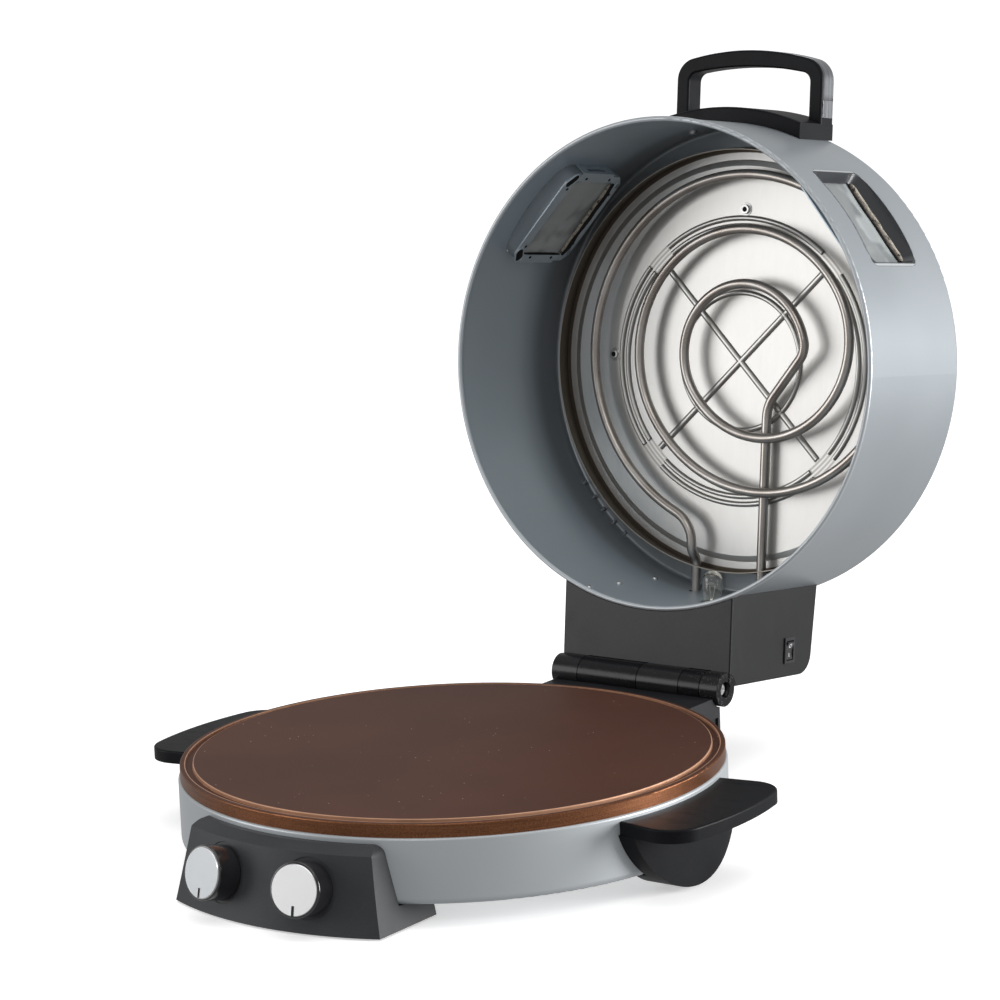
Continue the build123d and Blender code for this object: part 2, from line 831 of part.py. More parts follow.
def make_right_handle():
    wing = Pos(0, 0, wing_under) * extrude(wing_face(0), wing_thickness)
    wing = rounded_edge(wing, Axis.Z, -1, wing_edge_round)
    pocket = Pos(0, 0, wing_under - overrun) * extrude(
        wing_face(moulded_wall), wing_thickness - moulded_wall + overrun)
    pocket -= post(side_boss_radius + moulded_rib, 0, plate_top)
    hollow = side_boss(moulded_wall) - post(pan_radius, pan_floor - moulded_wall, pan_floor)
    for place in (-1, 0, 1):
        rib = slab(0, wing_reach, place * rib_pitch - moulded_rib / 2,
                   place * rib_pitch + moulded_rib / 2, 0, plate_top)
        pocket -= rib
        hollow -= rib
    handle = wing - pocket + side_boss(0) - hollow
    for place in side_screw_places()[2:]:
        inside = place * extrude(Circle(screw_radius + moulded_wall), side_boss_radius)
        handle += inside & post(side_boss_radius - sheet, 0, plate_top)
        handle -= place * extrude(Circle(screw_radius), screw_bite)
    return handle - post(pan_seat, pan_floor - seat_gap, plate_top + overrun)


def make_side_handle_screws():
    return group([place * screw(screw_bite) for place in side_screw_places()])


# Base: rear block with the fixed knuckles of the hinge
def lid_knuckles():
    """X limits of the three knuckles on the lid."""
    first, second, third, fourth = knuckle_splits
    return ((-barrel_end, first), (second, third), (fourth, barrel_end))


def base_knuckles():
    """X limits of the two knuckles on the base, set back by the running gap."""
    first, second, third, fourth = knuckle_splits
    return ((first + knuckle_gap, second - knuckle_gap), (third + knuckle_gap, fourth - knuckle_gap))


def block_form(inset, foot):
    """The block up to the pan and under it, or its hollow when inset by the wall."""
    half = block_half_width - inset
    form = slab(-half, half, block_front + inset, block_back - inset, foot, plate_top - block_drop - inset)
    return form - post(pan_seat + inset, pan_floor - seat_gap - inset, plate_top)


def open_stop():
    """A heel behind the barrel, sloped like the housing that comes to rest on it."""
    lean = radians(lid_open_angle - 90)
    front = hinge_back + barrel_radius + 2 * swing_gap
    back = front + stop_thickness
    touch = hinge_z + (hinge_back - housing_reach) * cos(lean) - rest_gap
    slope = sin(lean) / cos(lean)
    neck = hinge_z - barrel_radius - 2 * swing_gap
    root = block_back - moulded_wall
    foot = hinge_z - stop_drop
    profile = Polyline((root, foot - stop_foot / 2), (back, foot), (back, touch - (back - hinge_back) * slope),
                       (front, touch - (front - hinge_back) * slope), (front, neck), (root, neck), close=True)
    return extrude(Plane.YZ * make_face(profile), stop_width / 2, both=True)


def gland_frame():
    """Frame of the cord entry in the back wall of the block, +Z out."""
    return Plane((gland_side, block_back, gland_height), x_dir=(1, 0, 0), z_dir=(0, 1, 0))


def make_rear_block():
    block = block_form(0, pad_proud)
    block = fillet(block.edges().filter_by(Axis.Z).group_by(Axis.Y)[-1], block_corner)
    hollow = block_form(moulded_wall, -overrun)
    for x in (-1, 1):
        hollow -= slab(x * stop_width / 2 - moulded_rib / 2, x * stop_width / 2 + moulded_rib / 2,
                       block_front, block_back, 0, plate_top)
        hollow -= post(pad_radius + moulded_wall, 0, pan_floor, x * rear_pad_x, rear_pad_y)
        block -= Pos(x * block_half_width, block_back - grip_setback, plate_top - grip_drop) * Box(
            2 * grip_depth, grip_width, grip_height)
    for place in block_screw_places():
        hollow -= place * extrude(Circle(screw_radius + moulded_wall), screw_bite + moulded_wall)
    block -= hollow
    for start, end in base_knuckles():
        block += along_x(barrel_radius, start, end, hinge_back, hinge_z)
    block += open_stop()
    for start, end in lid_knuckles():
        block -= along_x(barrel_radius + swing_gap, start - knuckle_gap, end + knuckle_gap,
                         hinge_back, hinge_z)
    block -= along_x(pin_radius + slip_gap, -barrel_end, barrel_end, hinge_back, hinge_z)
    block -= gland_frame() * extrude(Circle(gland_radius + seat_gap), overrun, both=True)
    block -= rear_hole(wire_hole_radius, 0, wire_hole_height) & post(pan_seat + 2 * moulded_wall, 0, plate_top)
    for place in block_screw_places():
        block -= place * extrude(Circle(screw_radius), screw_bite)
    for x in (-1, 1):
        block -= post(pad_radius + seat_gap, 0, pad_proud + pad_recess, x * rear_pad_x, rear_pad_y)
    return block


def make_block_screws():
    return group([place * screw(screw_bite) for place in block_screw_places()])


def make_panel_screws():
    return group([place * screw(screw_bite) for place in panel_screw_places()])


def make_cord_gland():
    flange = extrude(Circle(gland_flange), gland_flange_thickness)
    outer = rounded_edge(flange, Axis.Z, -1, gland_flange_thickness / 2)
    inner = Pos(0, 0, -moulded_wall - gland_flange_thickness) * flange
    neck = Pos(0, 0, -moulded_wall) * extrude(Circle(gland_radius), moulded_wall)
    return gland_frame() * (outer + inner + neck - extrude(Circle(gland_bore), 2 * overrun, both=True))


def pin_reach():
    """Half length of the pin, just proud of the recesses of the outer knuckles."""
    return barrel_end - pin_recess_depth + rest_gap


def make_hinge_pin():
    return along_x(pin_radius, -pin_reach(), pin_reach(), hinge_back, hinge_z)


def make_hinge_screws():
    """Screw heads at both ends of the pin, with a cross slot."""
    head = rounded_edge(extrude(Circle(pin_screw_radius), screw_head_height), Axis.Z, -1,
                        screw_head_height * edge_break_share)
    cross = Box(cross_length, cross_width, screw_head_height)
    cross += Box(cross_width, cross_length, screw_head_height)
    right = Location((pin_reach(), hinge_back, hinge_z), (0, 90, 0)) * (
        head - Pos(0, 0, screw_head_height) * cross)
    return group([right, mirror(right, Plane.YZ)])


def make_feet(x, y):
    pad = chamfer(post(pad_radius, 0, pad_proud + pad_recess, x, y).edges().group_by(Axis.Z)[0],
                  pad_chamfer)
    return group([pad, mirror(pad, Plane.YZ)])


# Lid: drum
def on_drum(bearing, radius, depth):
    """Frame on a circle about the drum's axis, +Z outward and +Y along its depth."""
    angle = radians(bearing)
    return Plane((radius * sin(angle), -radius * cos(angle), depth),
                 x_dir=(cos(angle), sin(angle), 0), z_dir=(sin(angle), -cos(angle), 0))


def to_housing(x, depth, start):
    """Frame in the foot of the lid, +Z back towards the hinge."""
    return Plane((x, start, depth), x_dir=(1, 0, 0), z_dir=(0, 1, 0))


def rivet_frames():
    """Where rivets join the drum and the housing, +Z outward."""
    seat = sqrt(drum_bore ** 2 - rivet_head_radius ** 2)
    return [on_drum(side * housing_rivet_bearing, seat, depth)
            for side in (-1, 1) for depth in housing_rivet_depths]


def handle_screw_frames():
    seat = sqrt(drum_bore ** 2 - screw_head_radius ** 2)
    return [on_drum(side * handle_screw_bearing, seat, handle_screw_depth) for side in (-1, 1)]


def window_frame(side):
    """Frame in the middle of a window, on the surface of the drum."""
    return on_drum(side * window_bearing, drum_radius, (window_near + window_far) / 2)


def make_lid_drum():
    outer = rounded_edge(post(drum_radius, bead_radius, drum_depth), Axis.Z, -1, drum_corner)
    inner = rounded_edge(post(drum_bore, -overrun, drum_depth - drum_wall), Axis.Z, -1,
                         drum_corner - drum_wall)
    drum = outer - inner
    drum += Pos(0, 0, bead_radius) * Torus(bead_circle, bead_radius)
    hole = extrude(RectangleRounded(window_chord, window_span, window_round), window_sag * 2, both=True)
    for side in (-1, 1):
        drum -= window_frame(side) * hole
        drum -= to_housing(side * leg_x, leg_depth, reflector_radius) * extrude(
            Circle(tube_radius + seat_gap), 6 * overrun)
    drum -= to_housing(lamp_x, lamp_depth, reflector_radius) * extrude(
        Circle(lamp_radius + seat_gap), 6 * overrun)
    for frame in rivet_frames():
        drum -= frame * extrude(Circle(rivet_radius), overrun, both=True)
    for frame in handle_screw_frames():
        drum -= frame * extrude(Circle(screw_radius + seat_gap), overrun, both=True)
    return drum


def pane_opening(margin):
    """Outline of the clear opening of a window, grown by a margin."""
    return RectangleRounded(window_chord - 2 * bezel_side + 2 * margin,
                            window_span - 2 * bezel_end + 2 * margin, pane_round)


def make_bezel(side):
    """Funnel frame: flush with the drum outside, sloping in to the pane."""
    outline = RectangleRounded(window_chord - 2 * seat_gap, window_span - 2 * seat_gap, window_round)
    low = -pane_depth - pane_thickness
    body = Pos(0, 0, low) * extrude(outline, pane_depth + pane_thickness)
    mouth = Pos(0, 0, -window_sag / 2) * RectangleRounded(
        window_chord - 2 * bezel_rim, window_span - 2 * bezel_rim, window_round - bezel_rim)
    throat = Pos(0, 0, bezel_lip - pane_depth) * pane_opening(0)
    body -= loft([throat, mouth])
    body -= extrude(mouth, window_sag)
    body -= Pos(0, 0, low) * extrude(pane_opening(0), pane_depth + pane_thickness)
    body -= Pos(0, 0, low) * extrude(pane_opening(pane_hold), pane_thickness)
    return window_frame(side) * body & post(drum_radius, 0, drum_depth)


def make_pane(side):
    glass = extrude(pane_opening(pane_hold - seat_gap), pane_thickness)
    return window_frame(side) * Pos(0, 0, -pane_depth - pane_thickness) * glass


def make_retainer(side):
    """Sheet plate behind the pane, slotted beside its corners, with lugs bent out to the drum."""
    width, height = window_chord - 2 * bezel_rim, window_span + 2 * retainer_overhang
    outline = Rectangle(width, height)
    plate = extrude(chamfer(outline.vertices(), retainer_corner), retainer_sheet)
    bend = window_chord / 2 + seat_gap
    rise = pane_depth + pane_thickness + retainer_sheet
    lugs = slab(-bend - retainer_sheet, bend + retainer_sheet, -lug_width / 2, lug_width / 2, 0, rise)
    lugs -= slab(-bend, bend, -lug_width, lug_width, retainer_sheet, rise)
    lugs -= slab(-bend - overrun, bend + overrun, -lug_slot_width / 2, lug_slot_width / 2,
                 lug_slot_height, 2 * lug_slot_height)
    plate = plate + lugs - extrude(pane_opening(0), retainer_sheet)
    slot = extrude(Rectangle(retainer_slot_width, retainer_slot_height), retainer_sheet)
    x, y = width / 2 - retainer_slot_inset, height / 2 - retainer_slot_height
    for place in ((x, y), (x, -y), (-x, y), (-x, -y)):
        plate -= Pos(*place) * slot
    return window_frame(side) * Pos(0, 0, -rise) * plate & post(drum_bore - slip_gap, 0, drum_depth)


# Lid: reflector
def rib_section(radius, half_width, height):
    """Round section of a pressed rib, raised towards the rim of the lid."""
    ends = (radius - half_width, 0), (radius + half_width, 0)
    return Plane.XZ * make_face([ThreePointArc(ends[0], (radius, -height), ends[1]), Line(ends[1], ends[0])])


def ribs(skin):
    """All pressed ribs, smaller by a skin: one ring, four double arcs and a cross."""
    half, height = rib_half_width - skin, rib_height - skin
    shapes = [revolve(rib_section(inner_rib_circle, half, height), Axis.Z)]
    for circle in outer_rib_circles:
        arc = revolve(rib_section(circle, half, height), Axis.Z, outer_rib_arc)
        shapes += around(arc, 4, 45 + (90 - outer_rib_arc) / 2)
    bar = extrude(rib_section(0, cross_rib_half_width - skin, cross_rib_height - skin),
                  cross_rib_reach - skin, both=True)
    return shapes + around(bar, 4, 45)[:2]


def make_reflector():
    """Dish of thin sheet: flared lip, a step and pressed ribs, hollow from behind."""
    floor, raised = reflector_floor, reflector_floor - reflector_step
    foot = reflector_radius + reflector_flare
    step_in = reflector_step_circle
    step_out = step_in + reflector_step_width
    dish = turned((0, raised), (step_in, raised), (step_out, floor), (foot - sheet, floor),
                  (reflector_radius - sheet, reflector_lip), (reflector_radius, reflector_lip),
                  (foot, floor + sheet), (step_out, floor + sheet), (step_in, raised + sheet),
                  (0, raised + sheet))
    for shape in ribs(0):
        dish += Pos(0, 0, raised) * shape
    for shape in ribs(sheet / 2):
        dish -= Pos(0, 0, raised + sheet) * shape
    for side in (-1, 1):
        dish -= to_housing(side * leg_x, leg_depth, reflector_radius - 4 * overrun) * extrude(
            Circle(tube_radius + seat_gap), 6 * overrun)
    for x, y in spacer_places():
        dish -= post(screw_radius + seat_gap, reflector_lip, floor + overrun, x, y)
    return dish


def spacer_places():
    return [(reflector_spacer_circle * sin(radians(bearing)), -reflector_spacer_circle * cos(radians(bearing)))
            for bearing in reflector_spacer_bearings]


def make_reflector_spacers():
    return group([pipe(reflector_spacer_radius, screw_radius + seat_gap, reflector_back,
                       drum_depth - drum_wall, x, y) for x, y in spacer_places()])


def make_reflector_screws():
    length = drum_depth - drum_wall - reflector_back + sheet - seat_gap
    return group([Pos(x, y, reflector_back - sheet) * screw(length) for x, y in spacer_places()])


# Lid: heating tube, its places given as x, w up towards the handle, and depth
def place(point, depth):
    return Vector(point.X, -point.Y, depth)


def half_turn(centre, radius, begin, finish):
    """An arc of the coil about one of its centres, at the depth of the coil."""
    points = [centre + Vector(cos(radians(turn)), sin(radians(turn))) * radius
              for turn in (begin, (begin + finish) / 2, finish)]
    return ThreePointArc(*[place(point, coil_depth) for point in points])


def outer_leg(centre, bend_x, bend_w, join_angle):
    """From the housing to the outermost arc: leg, step up to the coil and bend."""
    leg = FilletPolyline(
        place(Vector(-leg_x, -leg_end), leg_depth),
        place(Vector(-leg_x, bend_w - leg_step_start - leg_step_run), leg_depth),
        place(Vector(-leg_x, bend_w - leg_step_start), coil_depth),
        place(Vector(-leg_x, bend_w), coil_depth), radius=leg_step_bend)
    bend = half_turn(Vector(bend_x, bend_w), leg_bend, 0, join_angle)
    return list(leg.edges()) + [bend]


def inner_leg(start, heading):
    """From the innermost arc behind the coil to the straight leg."""
    return list(FilletPolyline(
        place(start, coil_depth), place(start + heading * drop_lead, coil_depth),
        place(Vector(leg_x, drop_w), leg_depth), place(Vector(leg_x, -leg_end), leg_depth),
        radius=[drop_bend, drop_leg_bend]).edges())


def make_upper_element():
    """Half turns of tube about two centres, with both ends led into the housing."""
    split = Vector(cos(radians(coil_split)), sin(radians(coil_split)))
    first = Vector(coil_x, coil_w)
    centres = first, first + split * coil_step
    bend_x = -leg_x - leg_bend
    reach = coil_radius + leg_bend
    bend_w = first.Y - sqrt(reach ** 2 - (bend_x - first.X) ** 2)
    join = degrees(atan2(first.Y - bend_w, first.X - bend_x))
    edges = outer_leg(first, bend_x, bend_w, join)
    begin = join + 180
    for turn in range(coil_half_turns):
        last = turn == coil_half_turns - 1
        finish = (coil_end_angle if last else coil_split) - 180 * turn
        radius = coil_radius - turn * coil_step
        edges.append(half_turn(centres[turn % 2], radius, begin, finish))
        begin = finish
    angle = radians(coil_end_angle)
    start = centres[0] + Vector(cos(angle), sin(angle)) * radius
    edges += inner_leg(start, Vector(sin(angle), -cos(angle)))
    path = Wire(edges)
    return sweep(Plane(path @ 0, z_dir=path % 0) * Circle(tube_radius), path)


def leg_frames(start):
    """Frames on both legs of the heating tube, +Z back into the housing."""
    return [to_housing(x, leg_depth, start) for x in (-leg_x, leg_x)]


def make_leg_collars():
    """Collars on the legs, seated on the outside of the drum."""
    wall = sqrt(drum_radius ** 2 - leg_x ** 2)
    face = Circle(leg_collar_radius) - Circle(tube_radius + slip_gap)
    face -= Pos(0, -leg_collar_flat - leg_collar_radius) * Rectangle(2 * leg_collar_radius, 2 * leg_collar_radius)
    ring = extrude(face, leg_collar_length + overrun)
    return group([frame * ring - post(drum_radius + slip_gap, 0, drum_depth)
                  for frame in leg_frames(wall - overrun)])


def make_leg_terminals():
    """Ceramic beads with a pin at the ends of the tube."""
    bead = rounded_edge(extrude(Circle(tube_radius), bead_length), Axis.Z, -1, terminal_pin_radius)
    pin = extrude(Circle(terminal_pin_radius), bead_length + terminal_pin_length)
    return group([frame * (bead + pin) for frame in leg_frames(leg_end)])


# Lid: lamp
def lamp_frame(start):
    """Frame on the axis of the lamp, +Z from the housing into the drum."""
    return Plane((lamp_x, start, lamp_depth), x_dir=(1, 0, 0), z_dir=(0, -1, 0))


def capsule(radius, low, high):
    tube = Pos(0, 0, low) * extrude(Circle(radius), high - low)
    return rounded_edge(tube, Axis.Z, -1, radius * dome_share)


def lamp_wall():
    return sqrt(drum_radius ** 2 - lamp_x ** 2)


def make_lamp_bulb():
    """Glass capsule, hollow, with its neck in the socket."""
    glass = capsule(lamp_radius, -lamp_neck, lamp_height)
    glass -= capsule(lamp_radius - lamp_glass, lamp_glass - lamp_neck, lamp_height - lamp_glass)
    return lamp_frame(lamp_wall()) * glass


def make_lamp_socket():
    body = Pos(0, 0, -socket_length) * extrude(Circle(socket_radius), socket_length + overrun)
    body = chamfer(body.edges().group_by(Axis.Z)[0], housing_wall)
    body -= Pos(0, 0, -lamp_neck - slip_gap) * extrude(Circle(lamp_radius + slip_gap), socket_length)
    return lamp_frame(lamp_wall()) * body - post(drum_radius + slip_gap, 0, drum_depth)


# Lid: housing
def housing_outline(inset):
    """Side outline in y and z, its rear face falling away towards the foot."""
    slope = (housing_root_depth - housing_foot_depth) / (housing_reach - housing_root)
    reach = housing_reach - inset
    points = ((housing_root, housing_lift + inset), (reach, housing_lift + inset),
              (reach, housing_foot_depth - inset + inset * slope), (housing_root, housing_root_depth - inset))
    face = make_face(Polyline(*points, close=True))
    corner = face.vertices().group_by(Axis.X)[-1].sort_by(Axis.Y)[-1]
    return Plane.YZ * fillet(corner, housing_corner - inset)


def housing_form(inset):
    half = housing_half_width - inset
    form = extrude(housing_outline(inset), half, both=True)
    if not inset:
        form = rounded_edge(rounded_edge(form, Axis.X, -1, housing_edge_round), Axis.X, 0, housing_edge_round)
    form -= post(bead_outer + seat_gap, -overrun, 2 * bead_radius + seat_gap)
    return form - post(drum_radius + slip_gap + inset, -overrun, drum_depth)


def barrel(radius, start, end):
    """A cylinder about the hinge, in the frame of the closed lid."""
    return along_x(radius, start, end, hinge_back, -rim_lift)


def cover_frame():
    """Frame on the sloping rear face of the housing, +Z out."""
    slope = (housing_root_depth - housing_foot_depth) / (housing_reach - housing_root)
    depth = housing_root_depth - (cover_place - housing_root) * slope
    tilt = atan2(slope, 1)
    return Plane((0, cover_place, depth), x_dir=(1, 0, 0), z_dir=(0, sin(tilt), cos(tilt)))


def cover_screw_frames():
    x, y = cover_width / 2 - cover_border / 2, cover_height / 2 - cover_border / 2
    return [cover_frame() * Pos(sx * x, sy * y, cover_thickness) for sx in (-1, 1) for sy in (-1, 1)]


def make_lid_housing():
    body = housing_form(0)
    body -= housing_form(housing_wall) - barrel(
        barrel_radius + swing_gap + housing_wall, -housing_half_width, housing_half_width)
    body -= slab(-service_half_width, service_half_width, drum_bore - overrun, drum_radius + 2 * overrun,
                 service_near, service_far)
    for start, end in base_knuckles():
        body -= barrel(barrel_radius + swing_gap, start - knuckle_gap, end + knuckle_gap)
    for start, end in lid_knuckles():
        body += barrel(barrel_radius, start, end)
    body -= barrel(pin_radius + slip_gap, -barrel_end, barrel_end)
    for side in (-1, 1):
        end = side * (barrel_end + overrun)
        start = side * (barrel_end - pin_recess_depth)
        body -= barrel(pin_recess_radius, min(start, end), max(start, end))
    body -= cover_frame() * extrude(
        RectangleRounded(cover_width - 2 * cover_border, cover_height - 2 * cover_border, cover_round),
        overrun, both=True)
    body -= switch_frame() * extrude(Rectangle(switch_body_width + seat_gap, switch_body_length + seat_gap),
                                     overrun, both=True)
    for frame in cover_screw_frames():
        body -= frame * Pos(0, 0, -overrun) * extrude(Circle(screw_radius), overrun)
    for frame in rivet_frames():
        body -= frame * extrude(Circle(rivet_radius), overrun)
    return body


def make_housing_cover():
    cover = extrude(RectangleRounded(cover_width, cover_height, cover_round), cover_thickness)
    slot = extrude(SlotOverall(cover_slot_length, cover_slot_width), cover_thickness)
    for row in range(cover_slot_rows):
        y = (row - (cover_slot_rows - 1) / 2) * cover_slot_pitch
        for x in (-cover_slot_spread, cover_slot_spread):
            cover -= Pos(x, y, 0) * slot
    cover = cover_frame() * cover
    for frame in cover_screw_frames():
        cover -= frame * extrude(Circle(screw_radius + seat_gap), overrun, both=True)
    return cover


def make_cover_screws():
    return group([frame * Rot(180, 0, 0) * screw(overrun) for frame in cover_screw_frames()])


def make_housing_rivets():
    """Rivets with domed heads inside the drum."""
    head = rounded_edge(extrude(Circle(rivet_head_radius), rivet_head_height), Axis.Z, -1,
                        rivet_head_height * dome_share)
    rivet = Rot(180, 0, 0) * head + extrude(Circle(rivet_radius), drum_wall + housing_wall)
    return group([frame * rivet for frame in rivet_frames()])


# Lid: switch
def switch_frame():
    """Frame on the right side of the housing: +Z out, +Y up towards the drum."""
    return Plane((housing_half_width, switch_reach, switch_depth), x_dir=(0, 0, 1), z_dir=(1, 0, 0))


def make_switch_body():
    flange = extrude(RectangleRounded(switch_width, switch_length, switch_corner), switch_flange)
    flange = chamfer(flange.edges().group_by(Axis.Z)[-1], switch_corner * edge_break_share)
    body = flange + Pos(0, 0, -switch_body_depth) * extrude(
        Rectangle(switch_body_width, switch_body_length), switch_body_depth)
    well_foot = rocker_pivot + rocker_reach + rocker_play
    body -= Pos(0, 0, -well_foot) * extrude(
        Rectangle(rocker_width + 2 * rocker_play, 2 * (rocker_reach + rocker_play)), well_foot + overrun)
    reach = rocker_width / 2 + trunnion_length + slip_gap
    body -= along_x(trunnion_radius + slip_gap, -reach, reach, 0, -rocker_pivot)
    for y in (-1, 1):
        body += Pos(0, y * switch_tab_place, -switch_body_depth - tab_length) * extrude(
            Rectangle(tab_width, tab_thickness), tab_length)
    return switch_frame() * body


def make_rocker():
    """Rocker with round ends about its trunnions and a dished top."""
    half = rocker_width / 2
    rocker = along_x(rocker_reach, -half, half, 0, -rocker_pivot)
    rise = rocker_pivot + rocker_rise
    edge = sqrt(rocker_reach ** 2 - rise ** 2)
    depth = rocker_rise - rocker_valley
    reach = rocker_reach + overrun
    dish = make_face([ThreePointArc((-edge, rocker_rise), (0, rocker_rise - depth), (edge, rocker_rise)),
                      Line((edge, rocker_rise), (reach, reach)), Line((reach, reach), (-reach, reach)),
                      Line((-reach, reach), (-edge, rocker_rise))])
    rocker -= extrude(Plane.YZ * dish, half, both=True)
    rocker -= slab(-half, half, -reach, reach, -reach, -rocker_foot)
    reach = half + trunnion_length
    rocker += along_x(trunnion_radius, -reach, reach, 0, -rocker_pivot)
    return switch_frame() * Pos(0, 0, -rocker_pivot) * Rot(rocker_tilt, 0, 0) * Pos(0, 0, rocker_pivot) * rocker


# Lid: handle, drawn in x and w, extruded along the depth
def handle_plane(depth):
    return Plane((0, 0, depth), x_dir=(1, 0, 0), z_dir=(0, 0, -1))


def loop_outline(inset, foot):
    """Outer outline of the loop: straight legs, round shoulders and an arched top."""
    half, top, shoulder = loop_half - inset, loop_top - inset, loop_shoulder - inset
    face = make_face([
        Line((half, foot), (half, shoulder)), ThreePointArc((half, shoulder), (0, top), (-half, shoulder)),
        Line((-half, shoulder), (-half, foot)), Line((-half, foot), (half, foot))])
    return fillet(face.vertices().filter_by(lambda v: v.Y > foot + inset), loop_corner - inset)


def finger_outline():
    """Inner outline of the loop, down to below the top of the saddle."""
    half, top, shoulder = loop_half - loop_bar, loop_top - loop_grip, loop_inner_shoulder
    foot = drum_radius
    face = make_face([
        Line((half, foot), (half, shoulder)), ThreePointArc((half, shoulder), (0, top), (-half, shoulder)),
        Line((-half, shoulder), (-half, foot)), Line((-half, foot), (half, foot))])
    return fillet(face.vertices().filter_by(lambda v: v.Y > foot + overrun), loop_inner_corner)


def make_lid_handle():
    """Loop and arched saddle in one moulding."""
    saddle_top = drum_radius + saddle_thickness
    foot = sqrt(drum_radius ** 2 - loop_half ** 2)
    loop = handle_plane(loop_far) * extrude(loop_outline(0, foot), loop_far - loop_near)
    loop -= handle_plane(loop_far) * extrude(finger_outline(), loop_far - loop_near)
    loop = fillet(loop.edges().filter_by(lambda e: -e.center().Y > saddle_top + overrun
                                         and e.bounding_box().size.Z < slip_gap), loop_edge_round)
    saddle = post(saddle_top, saddle_near, loop_far)
    saddle = rounded_edge(saddle, Axis.Z, 0, saddle_edge_round)
    saddle &= slab(-loop_half, loop_half, -saddle_top, -foot + overrun, saddle_near, loop_far)
    pocket = post(saddle_top - moulded_wall, saddle_near + moulded_wall, loop_far - moulded_wall)
    pocket &= slab(moulded_wall - loop_half, loop_half - moulded_wall, -saddle_top, 0,
                   saddle_near, loop_far)
    for frame in handle_screw_frames():
        pocket -= frame * extrude(Circle(screw_radius + moulded_wall), saddle_thickness)
    handle = loop + saddle - pocket - post(drum_radius + seat_gap, 0, loop_far + overrun)
    for frame in handle_screw_frames():
        handle -= frame * extrude(Circle(screw_radius), screw_bite + seat_gap)
    far = (loop_near + loop_far + trim_width) / 2
    groove = loop_outline(-overrun, trim_foot) - loop_outline(trim_thickness, trim_foot - overrun)
    return handle - handle_plane(far) * extrude(groove, trim_width)


def make_handle_trim():
    """Bright strip let into the outside of the loop."""
    width = trim_width - 2 * slip_gap
    far = (loop_near + loop_far + width) / 2
    foot = trim_foot + slip_gap
    strip = loop_outline(-trim_proud, foot) - loop_outline(trim_thickness, foot - overrun)
    return handle_plane(far) * extrude(strip, width)


def make_handle_screws():
    return group([frame * screw(screw_bite) for frame in handle_screw_frames()])


base_pieces = {
    "base_pan": make_base_pan(),
    "cooking_plate": make_cooking_plate(),
    "lower_heating_element": make_lower_element(),
    "element_clamps": make_element_clamps(),
    "clamp_screws": make_clamp_screws(),
    "heat_shield": make_heat_shield(),
    "shield_spacers": make_shield_spacers(),
    "plate_studs": make_plate_studs(),
    "thermostat_sensor": make_sensor_bulb(),
    "sensor_strap": make_sensor_strap(),
    "terminal_block": make_terminal_block(),
    "control_panel": make_control_panel(),
    "panel_screws": make_panel_screws(),
    "timer_unit": make_timer(),
    "timer_shaft": make_shaft(-1),
    "timer_knob": make_knob(-1),
    "timer_knob_cap": make_knob_cap(-1),
    "thermostat_unit": make_thermostat(),
    "thermostat_shaft": make_shaft(1),
    "thermostat_knob": make_knob(1),
    "thermostat_knob_cap": make_knob_cap(1),
    "side_handle_right": make_right_handle(),
    "side_handle_left": mirror(make_right_handle(), Plane.YZ),
    "side_handle_screws": make_side_handle_screws(),
    "rear_hinge_block": make_rear_block(),
    "hinge_block_screws": make_block_screws(),
    "cord_gland": make_cord_gland(),
    "hinge_pin": make_hinge_pin(),
    "hinge_pin_screws": make_hinge_screws(),
    "front_feet": make_feet(front_pad_x, -front_pad_y),
    "rear_feet": make_feet(rear_pad_x, rear_pad_y),
}
lid_pieces = {
    "lid_drum": make_lid_drum(),
    "window_bezel_left": make_bezel(-1),
    "window_bezel_right": make_bezel(1),
    "window_pane_left": make_pane(-1),
    "window_pane_right": make_pane(1),
    "window_retainer_left": make_retainer(-1),
    "window_retainer_right": make_retainer(1),
    "lid_reflector": make_reflector(),
    "reflector_spacers": make_reflector_spacers(),
    "reflector_screws": make_reflector_screws(),
    "upper_heating_element": make_upper_element(),
    "element_collars": make_leg_collars(),
    "element_terminals": make_leg_terminals(),
    "lamp_bulb": make_lamp_bulb(),
    "lamp_socket": make_lamp_socket(),
    "lid_housing": make_lid_housing(),
    "housing_cover": make_housing_cover(),
    "cover_screws": make_cover_screws(),
    "housing_rivets": make_housing_rivets(),
    "switch_body": make_switch_body(),
    "switch_rocker": make_rocker(),
    "lid_handle": make_lid_handle(),
    "lid_handle_trim": make_handle_trim(),
    "lid_handle_screws": make_handle_screws(),
}


def swing_open(shape):
    """From the frame of the closed lid to its open place over the base."""
    return (Pos(0, 0, rim_z) * shape).rotate(hinge_axis, -lid_open_angle)


def part_origin(shapes):
    """The middle of the foot of the box around all pieces."""
    boxes = [shape.bounding_box() for shape in shapes]
    low = [min(getattr(box.min, axis) for box in boxes) for axis in "XYZ"]
    high = [max(getattr(box.max, axis) for box in boxes) for axis in "XY"]
    return Vector((low[0] + high[0]) / 2, (low[1] + high[1]) / 2, low[2])


nodes = dict(base_pieces)
nodes.update({name: swing_open(shape) for name, shape in lid_pieces.items()})
origin = part_origin(nodes.values())
os.makedirs("parts", exist_ok=True)
for name, shape in nodes.items():
    export_step(Pos(-origin) * shape, f"parts/{name}.step")
print("origin of the part in the frame of the plate:", origin)
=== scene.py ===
import json
from math import atan, cos, pi, radians, sin

import bmesh
import bpy
from mathutils import Matrix, Vector


